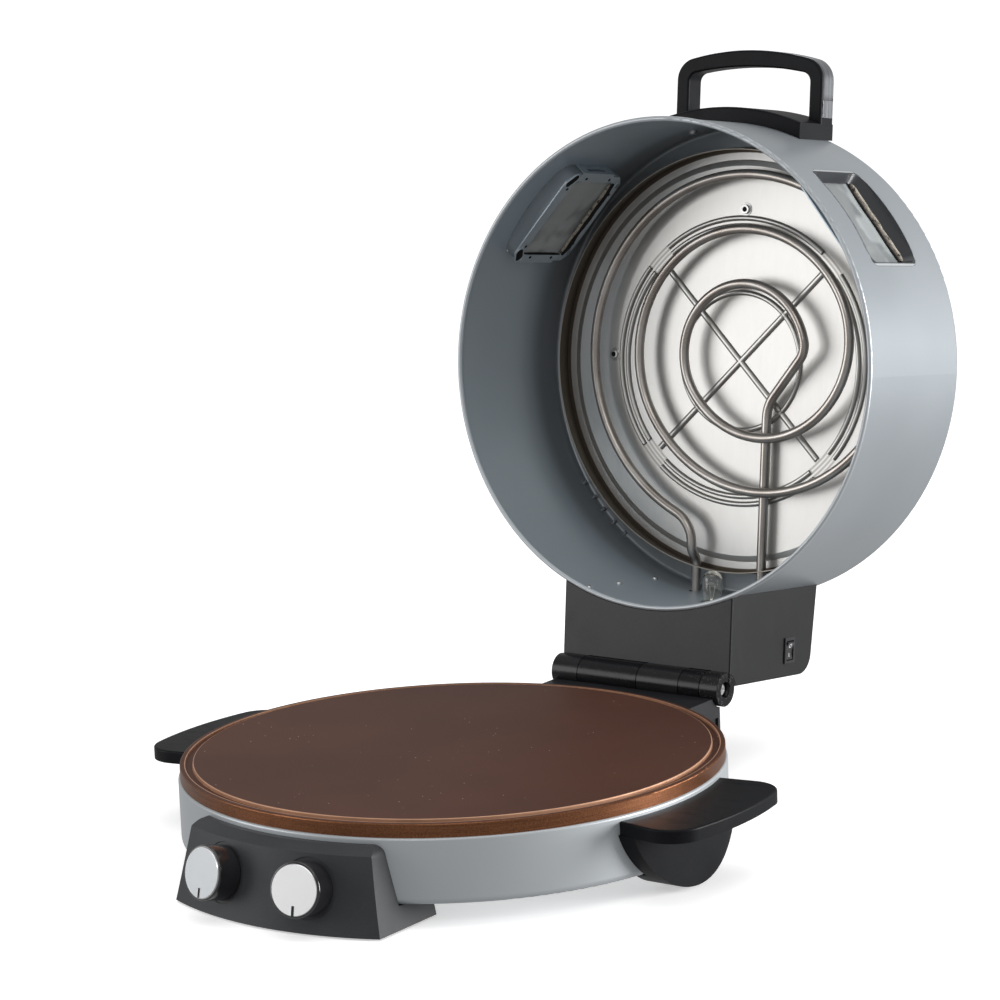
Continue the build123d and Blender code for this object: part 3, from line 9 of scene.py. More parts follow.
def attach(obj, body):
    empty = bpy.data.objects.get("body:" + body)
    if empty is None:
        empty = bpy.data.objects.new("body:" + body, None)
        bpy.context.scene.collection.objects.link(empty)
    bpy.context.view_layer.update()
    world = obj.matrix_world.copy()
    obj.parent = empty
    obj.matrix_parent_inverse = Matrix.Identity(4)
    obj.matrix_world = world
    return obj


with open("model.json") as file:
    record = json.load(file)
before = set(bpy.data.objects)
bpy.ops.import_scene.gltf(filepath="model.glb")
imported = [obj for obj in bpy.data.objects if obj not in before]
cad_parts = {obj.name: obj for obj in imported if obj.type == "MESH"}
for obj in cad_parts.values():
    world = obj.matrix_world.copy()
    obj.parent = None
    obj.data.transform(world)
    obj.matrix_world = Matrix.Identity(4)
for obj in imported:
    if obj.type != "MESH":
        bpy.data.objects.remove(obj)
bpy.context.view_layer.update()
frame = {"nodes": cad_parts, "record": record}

scene = bpy.context.scene

# Places of the object's own parts, metres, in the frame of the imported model
plateCentre = (0.0, -0.107463, 0.0)
hingeAxis = (0.0, 0.142737, 0.0708)
rimFromHinge = (0.0, -0.2502, 0.0035)
lidOpen = radians(-96.76)
drumBore = 0.193
drumRadius = 0.194
seat = 0.0002      # how far a small piece is let into what carries it

# The lid's own frame: its origin in the middle of the drum's rim, z into the drum, the handle at -y
lidFrame = (Matrix.Translation(hingeAxis) @ Matrix.Rotation(lidOpen, 4, "X")
            @ Matrix.Translation(rimFromHinge))
rimCentre = lidFrame.to_translation()


def onDrum(bearing, radius, depth):
    # frame on the drum, metres in the lid: z outward, x round the drum, y deeper
    turn = radians(bearing)
    axes = Matrix(((cos(turn), 0, sin(turn)), (sin(turn), 0, -cos(turn)), (0, 1, 0)))
    return lidFrame @ Matrix.Translation((radius * sin(turn), -radius * cos(turn), depth)) @ axes.to_4x4()


windowBearing, windowDepth = 50.3, 0.0675
windowFrames = {side: onDrum(bearing, drumRadius, windowDepth)
                for side, bearing in (("left", -windowBearing), ("right", windowBearing))}
lampPlace = (0.0193, 0.19304, 0.066)      # the lamp stands on the drum's wall, its axis towards the middle
lampFrame = lidFrame @ Matrix.Translation(lampPlace) @ Matrix.Rotation(pi / 2, 4, "X")


# Camera, where the photograph was taken from
cameraView = {
    "place": (1.4216, -1.9558, 0.6891),
    "azimuth": 36.53, "elevation": 10.49, "roll": -2.31,
    "lens": 117.86, "sensor": 36.0, "reach": 200,
}


def aimCamera(view):
    azimuth, elevation, roll = (radians(view[key]) for key in ("azimuth", "elevation", "roll"))
    forward = Vector((-sin(azimuth) * cos(elevation), cos(azimuth) * cos(elevation), -sin(elevation)))
    right = Vector((cos(azimuth), sin(azimuth), 0))
    up = right.cross(forward)
    axes = Matrix((right * cos(roll) + up * sin(roll), up * cos(roll) - right * sin(roll), -forward))
    data = bpy.data.cameras.new("viewCamera")
    data.lens, data.sensor_width = view["lens"], view["sensor"]
    data.dof.use_dof = False
    data.clip_end = view["reach"]
    camera = bpy.data.objects.new("viewCamera", data)
    camera.matrix_world = Matrix.Translation(view["place"]) @ axes.transposed().to_4x4()
    scene.collection.objects.link(camera)
    scene.camera = camera


aimCamera(cameraView)
print("camera set")


# Shader sockets as values, so that a finish reads as arithmetic
class Tone:
    def __init__(self, tree, socket):
        self.tree = tree
        self.socket = socket

    def node(self, kind, settings, values, output=0):
        made = self.tree.nodes.new(kind)
        for name, value in settings.items():
            setattr(made, name, value)
        for name, value in values.items():
            if isinstance(value, Tone):
                self.tree.links.new(value.socket, made.inputs[name])
            else:
                made.inputs[name].default_value = value
        return Tone(self.tree, made.outputs[output])

    def maths(self, operation, first, second=0.0):
        return self.node("ShaderNodeMath", {"operation": operation}, {0: first, 1: second})

    def __add__(self, other):
        return self.maths("ADD", self, other)

    __radd__ = __add__

    def __sub__(self, other):
        return self.maths("SUBTRACT", self, other)

    def __rsub__(self, other):
        return self.maths("SUBTRACT", other, self)

    def __mul__(self, other):
        return self.maths("MULTIPLY", self, other)

    __rmul__ = __mul__

    def __abs__(self):
        return self.maths("ABSOLUTE", self)

    def between(self, low, high):
        # 0 below low, 1 above high, smooth between; high may be the smaller
        return self.node("ShaderNodeMapRange", {"interpolation_type": "SMOOTHSTEP"},
                         {"Value": self, "From Min": low, "From Max": high})

    def blend(self, first, second):
        return self.node("ShaderNodeMix", {"data_type": "RGBA"}, {0: self, 6: first, 7: second}, 2)

    def placed(self, location=(0, 0, 0), rotation=(0, 0, 0), scale=(1, 1, 1)):
        # the place as seen from a frame at that location and turn, then scaled
        seen = self.node("ShaderNodeMapping", {"vector_type": "TEXTURE"},
                         {"Vector": self, "Location": location, "Rotation": rotation})
        return seen.node("ShaderNodeMapping", {}, {"Vector": seen, "Scale": scale})

    def length(self):
        return self.node("ShaderNodeVectorMath", {"operation": "LENGTH"}, {0: self}, "Value")

    def part(self, axis):
        return self.node("ShaderNodeSeparateXYZ", {}, {"Vector": self}, axis)

    def clouds(self, scale, detail=3.0, roughness=0.5, stretch=(1, 1, 1)):
        place = self.placed(scale=stretch)
        return place.node("ShaderNodeTexNoise", {},
                          {"Vector": place, "Scale": scale, "Detail": detail, "Roughness": roughness})

    def cells(self, scale, output="Distance"):
        return self.node("ShaderNodeTexVoronoi", {}, {"Vector": self, "Scale": scale}, output)

    def bump(self, distance, strength=1.0):
        return self.node("ShaderNodeBump", {}, {"Strength": strength, "Distance": distance, "Height": self})


def startFinish(name, fixed):
    material = bpy.data.materials.new(name)
    material.use_nodes = True
    tree = material.node_tree
    shader = tree.nodes["Principled BSDF"]
    for socket, value in fixed.items():
        shader.inputs[socket].default_value = value
    return material, shader, Tone(tree, tree.nodes.new("ShaderNodeTexCoord").outputs["Object"])


def feed(shader, **tones):
    for name, tone in tones.items():
        socket = {"color": "Base Color", "roughness": "Roughness", "metallic": "Metallic",
                  "normal": "Normal", "alpha": "Alpha", "coat": "Coat Weight"}[name]
        tone.tree.links.new(tone.socket, shader.inputs[socket])


def inLid(place, scale=(1, 1, 1)):
    return place.placed(rimCentre, (lidOpen, 0, 0), scale)


def fromAxis(place):
    # distance from the drum's axis
    return inLid(place, (1, 1, 0)).length()


# Finishes; a noise is scale, detail, roughness and stretch, a bump distance and strength, and a mix or
# share the two values between which one tone gives way to the other
# the worn tone is a painted highlight on the rim's bead, and the inside tone is painted light on the drum's inner wall
enamelLook = {
    "light": (0.308, 0.333, 0.354, 1), "dark": (0.272, 0.297, 0.318, 1), "rimHighlight": (0.62, 0.65, 0.67, 1),
    "inside": (0.45, 0.53, 0.59, 1), "driftNoise": (7, 2), "flakeNoise": (2600, 1), "peelNoise": (420, 2),
    "mix": (0.3, 0.7), "flakeMix": (0.45, 0.7), "bump": (0.00002, 0.25),
    "rim": 0.0010, "rimReach": (0.188, 0.192), "boreReach": (0.0006, 0.0002), "insideReach": (0.118, 0.096),
}


def greyEnamel(look):
    material, shader, place = startFinish("greyEnamel", {"Coat Roughness": 0.22, "Coat Weight": 0.25})
    drift = place.clouds(*look["driftNoise"])
    flake = place.clouds(*look["flakeNoise"])
    peel = place.clouds(*look["peelNoise"])
    depth = inLid(place).part("Z")
    radius = fromAxis(place)
    # painted highlight: the enamel is lightened along the rim's bead, where light catches it
    rimHighlight = depth.between(look["rim"] * 3, look["rim"]) * radius.between(*look["rimReach"]) * (0.3 + 0.2 * drift)
    paint = (0.7 * drift + 0.3 * flake).between(*look["mix"]).blend(look["dark"], look["light"])
    # painted light: the drum's inside is lightened and made bluer, fading out deep towards the reflector; the enamel is
    # the same as outside
    far, near = look["boreReach"]
    inside = radius.between(drumBore + far, drumBore + near) * depth.between(0.0, look["rim"])
    inside = inside * depth.between(*look["insideReach"])
    paint = (inside * (0.8 + 0.2 * drift)).blend(paint, look["inside"])
    feed(shader, color=rimHighlight.blend(paint, look["rimHighlight"]), metallic=0.35 + 0.25 * flake.between(*look["flakeMix"]),
         roughness=0.33 + 0.09 * drift + 0.05 * flake, normal=(peel + 0.25 * flake).bump(*look["bump"]))
    return material


# the edge tone is a painted highlight along the plate's rounded edges
plateLook = {
    "coat": (0.094, 0.037, 0.022, 1), "coatDark": (0.070, 0.028, 0.018, 1), "copper": (0.25, 0.106, 0.052, 1),
    "copperDark": (0.115, 0.046, 0.023, 1), "speck": (0.75, 0.62, 0.52, 1), "edge": (0.72, 0.42, 0.27, 1),
    "discRadius": 0.1902, "discEdge": (0.0008, 0.0002), "gutterRadius": 0.1962, "gutterEdge": (0.0006, 0.0001),
    "skirt": (0.1989, 0.1996), "specks": 150, "speckSize": (0.075, 0.045), "speckShare": (0.52, 0.60),
    "driftNoise": (9, 3), "grainNoise": (1500, 3, 0.6), "brushNoise": (5, 4, 0.7, (4, 4, 700)),
    "fineNoise": (900, 3, 0.7), "patchNoise": (23, 1), "edgeNoise": (60, 3),
    "mix": (0.3, 0.7), "copperMix": (0.36, 0.64), "bump": (0.00004, 0.55),
}


def bronzeCoating(look):
    material, shader, place = startFinish("bronzeCoating", {"Specular IOR Level": 0.2})
    radius = place.placed(plateCentre, scale=(1, 1, 0)).length()
    skirt = radius.between(*look["skirt"])
    drift = place.clouds(*look["driftNoise"])
    grain = place.clouds(*look["grainNoise"])
    brushed = place.clouds(*look["brushNoise"])
    speck = place.cells(look["specks"]).between(*look["speckSize"])
    speck = speck * place.clouds(*look["patchNoise"]).between(*look["speckShare"]) * (1 - skirt)
    coat = (0.6 * drift + 0.4 * grain).between(*look["mix"]).blend(look["coatDark"], look["coat"])
    copper = (0.55 * brushed + 0.45 * place.clouds(*look["fineNoise"])).between(*look["copperMix"])
    copper = copper.blend(look["copperDark"], look["copper"])
    # painted highlight: bright copper lines on the disc's and the gutter's rounded edges, which are also made smoother
    # and more metallic
    discEdge = abs(radius - look["discRadius"]).between(*look["discEdge"])
    gutterEdge = abs(radius - look["gutterRadius"]).between(*look["gutterEdge"])
    edge = (discEdge + gutterEdge) * (0.45 + 0.5 * place.clouds(*look["edgeNoise"])) * (1 - skirt)
    tone = edge.blend(speck.blend(skirt.blend(coat, copper), look["speck"]), look["edge"])
    feed(shader, color=tone, metallic=0.25 + 0.70 * skirt + 0.3 * edge,
         roughness=0.50 - 0.16 * skirt + 0.10 * grain - 0.12 * edge,
         normal=(grain * (1 - skirt) * 0.5 + brushed * skirt).bump(*look["bump"]))
    return material


# the lip's dark brown is a painted reflection, the lip's top edge a painted highlight, and the ribs' flanks painted
# shade
reflectorLook = {
    "sheet": (0.70, 0.69, 0.67, 1), "soft": (0.60, 0.59, 0.57, 1), "lip": (0.085, 0.068, 0.052, 1),
    "lipEdge": (0.52, 0.47, 0.40, 1), "rib": (0.26, 0.245, 0.225, 1),
    "bend": (0.1703, 0.1713), "wall": (0.1725, 0.1732), "lipTop": (0.1163, 0.1156),
    "rings": (0.0565, 0.1110, 0.1174), "ringNear": (0.0003, 0.0012), "ringFar": (0.0028, 0.0021),
    "crossNear": (0.0004, 0.0014), "crossFar": (0.0034, 0.0026), "crossReach": (0.110, 0.107),
    "ribDepth": (0.1300, 0.1292), "rollNoise": (24, 4, 0.6, (4, 1, 1)), "driftNoise": (9, 3),
    "mix": (0.3, 0.7), "bump": (0.00004, 0.4),
}


def reflectorSteel(look):
    material, shader, place = startFinish("reflectorSteel", {"Anisotropic": 0.2})
    lid = inLid(place)
    depth = lid.part("Z")
    radius = fromAxis(place)
    rolled = lid.clouds(*look["rollNoise"])
    drift = lid.clouds(*look["driftNoise"])
    # painted light: the dish's wall out to the lip is painted dark brown as a painted reflection, and its top edge gets
    # a painted highlight
    lip = radius.between(*look["bend"])
    top = depth.between(*look["lipTop"]) * radius.between(*look["wall"])
    # painted shade on the flanks of the pressed ribs: the cross and the rings
    turned = lid.placed(rotation=(0, 0, pi / 4))
    cross = turned.maths("MINIMUM", abs(turned.part("X")), abs(turned.part("Y")))
    inner, middle, outer = (abs(radius - ring) for ring in look["rings"])
    rings = radius.maths("MINIMUM", inner, radius.maths("MINIMUM", middle, outer))
    flankShade = cross.between(*look["crossNear"]) * cross.between(*look["crossFar"]) * radius.between(*look["crossReach"])
    flankShade = flankShade.maths("MAXIMUM", flankShade, rings.between(*look["ringNear"]) * rings.between(*look["ringFar"]))
    flankShade = flankShade * depth.between(*look["ribDepth"]) * (0.55 + 0.35 * drift)
    sheet = (0.7 * drift + 0.3 * rolled).between(*look["mix"]).blend(look["soft"], look["sheet"])
    tone = top.blend(lip.blend(flankShade.blend(sheet, look["rib"]), look["lip"]), look["lipEdge"])
    feed(shader, color=tone, metallic=0.90 - 0.30 * lip, roughness=0.35 + 0.08 * drift + 0.04 * rolled + 0.10 * lip,
         normal=(0.4 * rolled + 2.0 * drift).bump(*look["bump"]))
    return material


tubeLook = {"satin": (0.50, 0.475, 0.45, 1), "tint": (0.33, 0.295, 0.265, 1), "driftNoise": (22, 3),
            "fineNoise": (1200, 3, 0.6), "mix": (0.35, 0.7), "bump": (0.00003, 0.5)}


def heaterTube(look):
    material, shader, place = startFinish("heaterTube", {})
    drift = place.clouds(*look["driftNoise"])
    fine = place.clouds(*look["fineNoise"])
    tone = (0.7 * drift + 0.3 * fine).between(*look["mix"]).blend(look["tint"], look["satin"])
    feed(shader, color=tone, metallic=0.86 + 0.1 * fine, roughness=0.20 + 0.14 * drift + 0.05 * fine,
         normal=fine.bump(*look["bump"]))
    return material


mouldingLook = {"black": (0.008, 0.008, 0.010, 1), "dust": (0.016, 0.017, 0.019, 1), "shine": 0.30,
                "speck": (0.16, 0.16, 0.165, 1), "knuckle": (0.0139, 0.0135), "speckled": (0.0419, 0.0439),
                "shadedSideAndKnuckleBlack": (0.002, 0.002, 0.003, 1), "shadedSideDust": (0.007, 0.0075, 0.008, 1),
                "grainNoise": (1500, 2, 0.6), "driftNoise": (14, 3), "smudgeNoise": (45, 4, 0.7, (1, 2.4, 1)),
                "smudgeShare": (0.5, 0.75), "specks": 700, "speckSize": (0.22, 0.12), "patchNoise": (160, 2),
                "speckShare": (0.45, 0.60), "mix": (0.3, 0.75), "bump": (0.00006, 0.5)}
# painted light: the panel's and the housing's copies of this moulding have lighter blacks, as if the same moulding were
# lit more; the housing's sides are painted darker as painted shade
panelLitLook = mouldingLook | {"black": (0.036, 0.038, 0.041, 1), "dust": (0.051, 0.053, 0.057, 1), "shine": 0.20}
housingLitShadedLook = mouldingLook | {"black": (0.034, 0.034, 0.036, 1), "dust": (0.050, 0.050, 0.052, 1),
                              "shadedSideFace": (0.0779, 0.0783)}
gripLook = mouldingLook | {"black": (0.002, 0.002, 0.003, 1), "dust": (0.011, 0.012, 0.014, 1), "shine": 0.11}


def blackMoulding(look, name="blackMoulding"):
    material, shader, place = startFinish(name, {"Specular IOR Level": look["shine"]})
    grain = place.clouds(*look["grainNoise"])
    drift = place.clouds(*look["driftNoise"])
    smudge = place.clouds(*look["smudgeNoise"]).between(*look["smudgeShare"])
    # the hinge's knuckles are smoother, and speckled towards the switch side
    knuckle = place.placed(hingeAxis, scale=(0, 1, 1)).length().between(*look["knuckle"])
    speck = place.cells(look["specks"]).between(*look["speckSize"])
    speck = speck * place.clouds(*look["patchNoise"]).between(*look["speckShare"])
    speck = speck * knuckle * (0.25 + 0.75 * place.part("X").between(*look["speckled"]))
    tone = (0.5 * drift + 0.5 * grain).between(*look["mix"]).blend(look["black"], look["dust"])
    if "shadedSideFace" in look:      # the side panels are painted darker than the front: painted shade, the same moulding lit less
        side = abs(place.part("X")).between(*look["shadedSideFace"])
        tone = side.blend(tone, grain.blend(look["shadedSideAndKnuckleBlack"], look["shadedSideDust"]))
    tone = (0.8 * knuckle).blend(tone, look["shadedSideAndKnuckleBlack"])
    feed(shader, color=speck.blend(tone, look["speck"]),
         roughness=0.36 + 0.10 * drift + 0.07 * smudge + 0.04 * grain - 0.20 * knuckle,
         normal=(grain + 3.0 * speck).bump(*look["bump"]))
    return material


glossLook = {"black": (0.010, 0.010, 0.012, 1), "haze": (0.022, 0.022, 0.025, 1), "driftNoise": (30, 3),
             "smudgeNoise": (170, 4, 0.7), "smudgeShare": (0.5, 0.8), "peelNoise": (380, 2), "mix": (0.35, 0.7),
             "bump": (0.00002, 0.3)}


def blackGloss(look):
    material, shader, place = startFinish("blackGloss", {"Coat Weight": 0.5, "Coat Roughness": 0.05})
    drift = place.clouds(*look["driftNoise"])
    smudge = place.clouds(*look["smudgeNoise"]).between(*look["smudgeShare"])
    feed(shader, color=drift.between(*look["mix"]).blend(look["black"], look["haze"]),
         roughness=0.14 + 0.06 * drift + 0.12 * smudge, normal=place.clouds(*look["peelNoise"]).bump(*look["bump"]))
    return material


capLook = {"silver": (0.36, 0.375, 0.385, 1), "shade": (0.27, 0.28, 0.29, 1), "rim": (0.90, 0.90, 0.90, 1),
           "pointer": (0.012, 0.012, 0.013, 1), "bearing": 9.94, "lean": 12.2 / 53.7,
           "place": (0.03803, -0.324472, 0.0318), "rimReach": (0.0170, 0.0174), "ring": 5200,
           "slotSide": (0.00125, 0.00105), "slotStart": (-0.0103, -0.0106), "slotTop": (0.0192, 0.0190),
           "fineNoise": {"Scale": 6000, "Detail": 2}, "mix": (0.3, 0.7), "bump": (0.00001, 0.4)}
# painted light: the right cap's copy is near white, the same spun silver as the left cap, lit more
rightCapLitLook = capLook | {"silver": (0.96, 0.96, 0.96, 1), "shade": (0.88, 0.88, 0.89, 1)}


def spunSilver(look, side):
    # turned rings about the knob's own axis, a bright rim and a black pointer slot
    bearing, slope = radians(look["bearing"]) * side, atan(look["lean"])
    out = Vector((sin(bearing) * cos(slope), -cos(bearing) * cos(slope), sin(slope)))
    across = Vector((cos(bearing), sin(bearing), 0))
    turn = Matrix((across, out.cross(across), out)).transposed().to_euler()
    material, shader, place = startFinish("spunSilver" + ("Left", "", "Right")[side + 1], {"Specular IOR Level": 0.5})
    along, front, height = look["place"]
    local = place.placed((along * side, front, height), turn)
    radius = local.placed(scale=(1, 1, 0)).length()
    rings = radius.maths("SINE", radius * look["ring"])
    fine = radius.node("ShaderNodeTexNoise", {"noise_dimensions": "1D"}, {"W": radius} | look["fineNoise"])
    rim = radius.between(*look["rimReach"])
    tone = fine.between(*look["mix"]).blend(look["shade"], look["silver"])
    slot = abs(local.part("X")).between(*look["slotSide"]) * local.part("Y").between(*look["slotStart"])
    slot = slot * local.part("Z").between(*look["slotTop"])
    feed(shader, color=slot.blend(rim.blend(tone, look["rim"]), look["pointer"]),
         metallic=(0.9 + 0.1 * fine) * (1 - slot), roughness=0.36 + 0.08 * fine - 0.14 * rim,
         normal=(fine + 0.05 * rings).bump(*look["bump"]))
    return material


stripLook = {"bright": (0.35, 0.36, 0.38, 1), "shade": (0.15, 0.16, 0.17, 1), "fineNoise": (1800, 2),
             "streakNoise": (60, 3, 0.6, (1, 0.12, 5)), "mix": (0.3, 0.7), "bump": (0.00002, 0.3)}


def brightStrip(look):
    material, shader, place = startFinish("brightStrip", {"Anisotropic": 0.3})
    streak = inLid(place).clouds(*look["streakNoise"])
    fine = place.clouds(*look["fineNoise"])
    feed(shader, color=(0.8 * streak + 0.2 * fine).between(*look["mix"]).blend(look["shade"], look["bright"]),
         metallic=0.92 + 0.08 * fine, roughness=0.16 + 0.12 * streak + 0.04 * fine,
         normal=streak.bump(*look["bump"]))
    return material


zincLook = {"light": (0.66, 0.66, 0.65, 1), "dull": (0.46, 0.46, 0.45, 1), "rough": 0.26, "spangles": 420,
            "fineNoise": (900, 3, 0.6), "mix": (0.25, 0.7), "bump": (0.00004, 0.45)}
rivetLook = zincLook | {"light": (0.86, 0.87, 0.88, 1), "dull": (0.70, 0.71, 0.72, 1), "rough": 0.10}


def plainSteel(look, name="plainSteel"):
    material, shader, place = startFinish(name, {})
    spangle = place.cells(look["spangles"])
    fine = place.clouds(*look["fineNoise"])
    feed(shader, color=(0.5 * spangle + 0.5 * fine).between(*look["mix"]).blend(look["dull"], look["light"]),
         metallic=0.9 + 0.1 * fine, roughness=look["rough"] + 0.14 * fine + 0.05 * spangle,
         normal=fine.bump(*look["bump"]))
    return material


# the wall tone is painted shade in the funnel, the lip tone a painted highlight, and the seam tone a painted shade line
# round the flange
bezelLook = {"light": (0.300, 0.335, 0.365, 1), "dark": (0.250, 0.285, 0.312, 1), "wall": (0.030, 0.033, 0.037, 1),
             "seamShade": (0.035, 0.038, 0.042, 1), "lip": (0.66, 0.69, 0.71, 1),
             "mouth": (0.04585, 0.0346), "flange": (0.0471, 0.0358), "slope": (0.674, 0.742), "mouthRise": -0.0029,
             "land": (0.0010, 0.0008), "seamShadeReach": (-0.0002, 0.0), "faceReach": (-0.0001, 0.0003),
             "driftNoise": (16, 3), "streakNoise": (30, 3, 0.6, (1, 0.3, 3)), "peelNoise": (420, 2),
             "mix": (0.3, 0.7), "bump": (0.00002, 0.25)}


def bezelEnamel(look, side):
    # enamel outside; painted shade on the funnel within it, a painted highlight on the lip and a painted shade line
    # round the flange
    material, shader, place = startFinish("bezelEnamel" + side.title(), {"Coat Roughness": 0.10})
    window = windowFrames[side]
    seen = place.placed(window.translation, window.to_euler())
    across = [abs(seen.part("X")), abs(seen.part("Y"))]
    height = seen.part("Z")
    sunk = height.maths("MINIMUM", height, look["mouthRise"]) - look["mouthRise"]
    inner = [value - slope * sunk - mouth
             for value, slope, mouth in zip(across, look["slope"], look["mouth"])]
    inside = inner[0].maths("MAXIMUM", inner[0], inner[1])
    outer = [value - reach for value, reach in zip(across, look["flange"])]
    outside = outer[0].maths("MAXIMUM", outer[0], outer[1])
    far, near = look["land"]
    low, high = look["faceReach"]
    # painted shade on the funnel's wall, a painted highlight on the lip, and a painted shade line round the flange
    wall = inside.between(far, near)
    face = fromAxis(place).between(drumBore + low, drumBore + high)
    lip = inside.between(near, far) * face
    seamShade = outside.between(*look["seamShadeReach"]) * face
    drift = place.clouds(*look["driftNoise"])
    streak = seen.clouds(*look["streakNoise"])
    paint = drift.between(*look["mix"]).blend(look["dark"], look["light"])
    tone = seamShade.blend(lip.blend(wall.blend(paint, look["wall"]), look["lip"]), look["seamShade"])
    feed(shader, color=tone, metallic=(0.35 + 0.2 * streak + 0.3 * lip) * (1 - wall), coat=0.35 * (1 - wall),
         roughness=0.30 + 0.08 * drift - 0.06 * wall, normal=place.clouds(*look["peelNoise"]).bump(*look["bump"]))
    return material


ropeLook = {"light": (0.44, 0.40, 0.34, 1), "dark": (0.17, 0.14, 0.11, 1), "burnt": (0.040, 0.033, 0.028, 1),
            "fibreNoise": (1500, 4, 0.7), "patchNoise": (420, 3, 0.6), "burntNoise": (230, 3),
            "burntShare": (0.56, 0.66), "mix": (0.35, 0.62), "bump": (0.0004, 0.8)}


def glassRope(look):
    # braided glass fibre, browned in patches
    material, shader, place = startFinish("glassRope", {"Sheen Weight": 0.2})
    fibre = place.clouds(*look["fibreNoise"])
    patch = place.clouds(*look["patchNoise"])
    burnt = place.clouds(*look["burntNoise"]).between(*look["burntShare"])
    tone = (0.5 * fibre + 0.5 * patch).between(*look["mix"]).blend(look["dark"], look["light"])
    feed(shader, color=burnt.blend(tone, look["burnt"]), roughness=0.80 + 0.12 * fibre,
         normal=(fibre + patch).bump(*look["bump"]))
    return material


glassLook = {"clear": (0.20, 0.215, 0.22, 1), "streak": (0.36, 0.385, 0.39, 1),
             "streakNoise": (12, 3, 0.5, (3, 3, 0.4)), "filmNoise": (90, 4, 0.65), "patchNoise": (26, 2, 0.5),
             "patchShare": (0.42, 0.58), "mix": (0.35, 0.65)}


def windowGlass(look):
    material, shader, place = startFinish("windowGlass", {"IOR": 1.5, "Coat Weight": 0.6, "Coat Roughness": 0.03})
    streak = inLid(place).clouds(*look["streakNoise"])
    film = place.clouds(*look["filmNoise"])
    patch = inLid(place).clouds(*look["patchNoise"]).between(*look["patchShare"])
    tone = (0.5 * streak + 0.2 * film + 0.3 * patch).between(*look["mix"])
    feed(shader, color=tone.blend(look["clear"], look["streak"]),
         roughness=0.07 + 0.12 * film, alpha=0.86 + 0.10 * streak)
    return material


bulbLook = {"glass": (0.98, 0.97, 0.94, 1), "haze": (0.90, 0.88, 0.80, 1), "hazeNoise": (70, 3),
            "mix": (0.4, 0.7)}


def bulbGlass(look):
    material, shader, place = startFinish("bulbGlass", {"IOR": 1.46, "Transmission Weight": 1.0})
    haze = place.clouds(*look["hazeNoise"])
    feed(shader, color=haze.between(*look["mix"]).blend(look["glass"], look["haze"]),
         roughness=0.01 + 0.03 * haze)
    return material


rubberLook = {"black": (0.022, 0.022, 0.023, 1), "bloom": (0.050, 0.049, 0.047, 1),
              "fineNoise": (1100, 3, 0.6), "bloomNoise": (80, 3), "mix": (0.35, 0.75), "bump": (0.00008, 0.5)}
# the blackest rubber, for the grommet, and as painted shade in the pockets' wells, the slots, the gaps beside the
# gasket and the screw sockets
rubberAndShadeLook = rubberLook | {"black": (0.003, 0.003, 0.003, 1), "bloom": (0.010, 0.010, 0.010, 1)}


def rubberPad(look, name="rubberPad"):
    material, shader, place = startFinish(name, {"Specular IOR Level": 0.3})
    fine = place.clouds(*look["fineNoise"])
    bloom = place.clouds(*look["bloomNoise"])
    feed(shader, color=(0.6 * bloom + 0.4 * fine).between(*look["mix"]).blend(look["black"], look["bloom"]),
         roughness=0.68 + 0.16 * fine, normal=fine.bump(*look["bump"]))
    return material


ceramicLook = {"white": (0.74, 0.72, 0.66, 1), "cream": (0.64, 0.60, 0.52, 1), "grainNoise": (1300, 3, 0.6),
               "driftNoise": (60, 3), "mix": (0.3, 0.7), "bump": (0.00005, 0.5)}


def ceramic(look):
    material, shader, place = startFinish("ceramic", {"Coat Weight": 0.3, "Coat Roughness": 0.12})
    grain = place.clouds(*look["grainNoise"])
    drift = place.clouds(*look["driftNoise"])
    feed(shader, color=(0.6 * drift + 0.4 * grain).between(*look["mix"]).blend(look["cream"], look["white"]),
         roughness=0.42 + 0.14 * grain, normal=grain.bump(*look["bump"]))
    return material


rockerLook = {"black": (0.012, 0.012, 0.013, 1), "haze": (0.026, 0.026, 0.028, 1), "mark": (0.72, 0.73, 0.74, 1),
              "pivot": (0.0795, 0.2271, 0.0882), "place": 0.0038, "size": 0.0015, "stroke": 0.0003,
              "soft": 0.0001, "faceReach": (-0.002, -0.001), "driftNoise": (90, 3), "peelNoise": (900, 2),
              "mix": (0.35, 0.7), "bump": (0.00002, 0.3)}


def rockerGloss(look):
    # the switch's generic marks, a ring above and a bar below, are printed on its face
    material, shader, place = startFinish("rockerGloss", {"Coat Weight": 0.4, "Coat Roughness": 0.08})
    pivot = lidFrame @ Vector(look["pivot"])
    turn = (lidFrame.to_3x3() @ Matrix(((0, 0, 1), (0, -1, 0), (1, 0, 0)))).to_euler()
    face = place.placed(pivot, turn)
    ring = abs(face.placed((0, look["place"], 0), scale=(1, 1, 0)).length() - look["size"])
    bar = face.placed((0, -look["place"], 0))
    wide, tall = abs(bar.part("X")), abs(bar.part("Y"))
    stroke = look["stroke"]
    printed = ring.between(stroke, stroke * 0.6) + wide.between(stroke, stroke * 0.6) * tall.between(
        look["size"] + look["soft"], look["size"])
    printed = printed * face.part("Z").between(*look["faceReach"])
    drift = place.clouds(*look["driftNoise"])
    body = drift.between(*look["mix"]).blend(look["black"], look["haze"])
    feed(shader, color=printed.blend(body, look["mark"]), roughness=0.20 + 0.10 * drift + 0.2 * printed,
         normal=place.clouds(*look["peelNoise"]).bump(*look["bump"]))
    return material


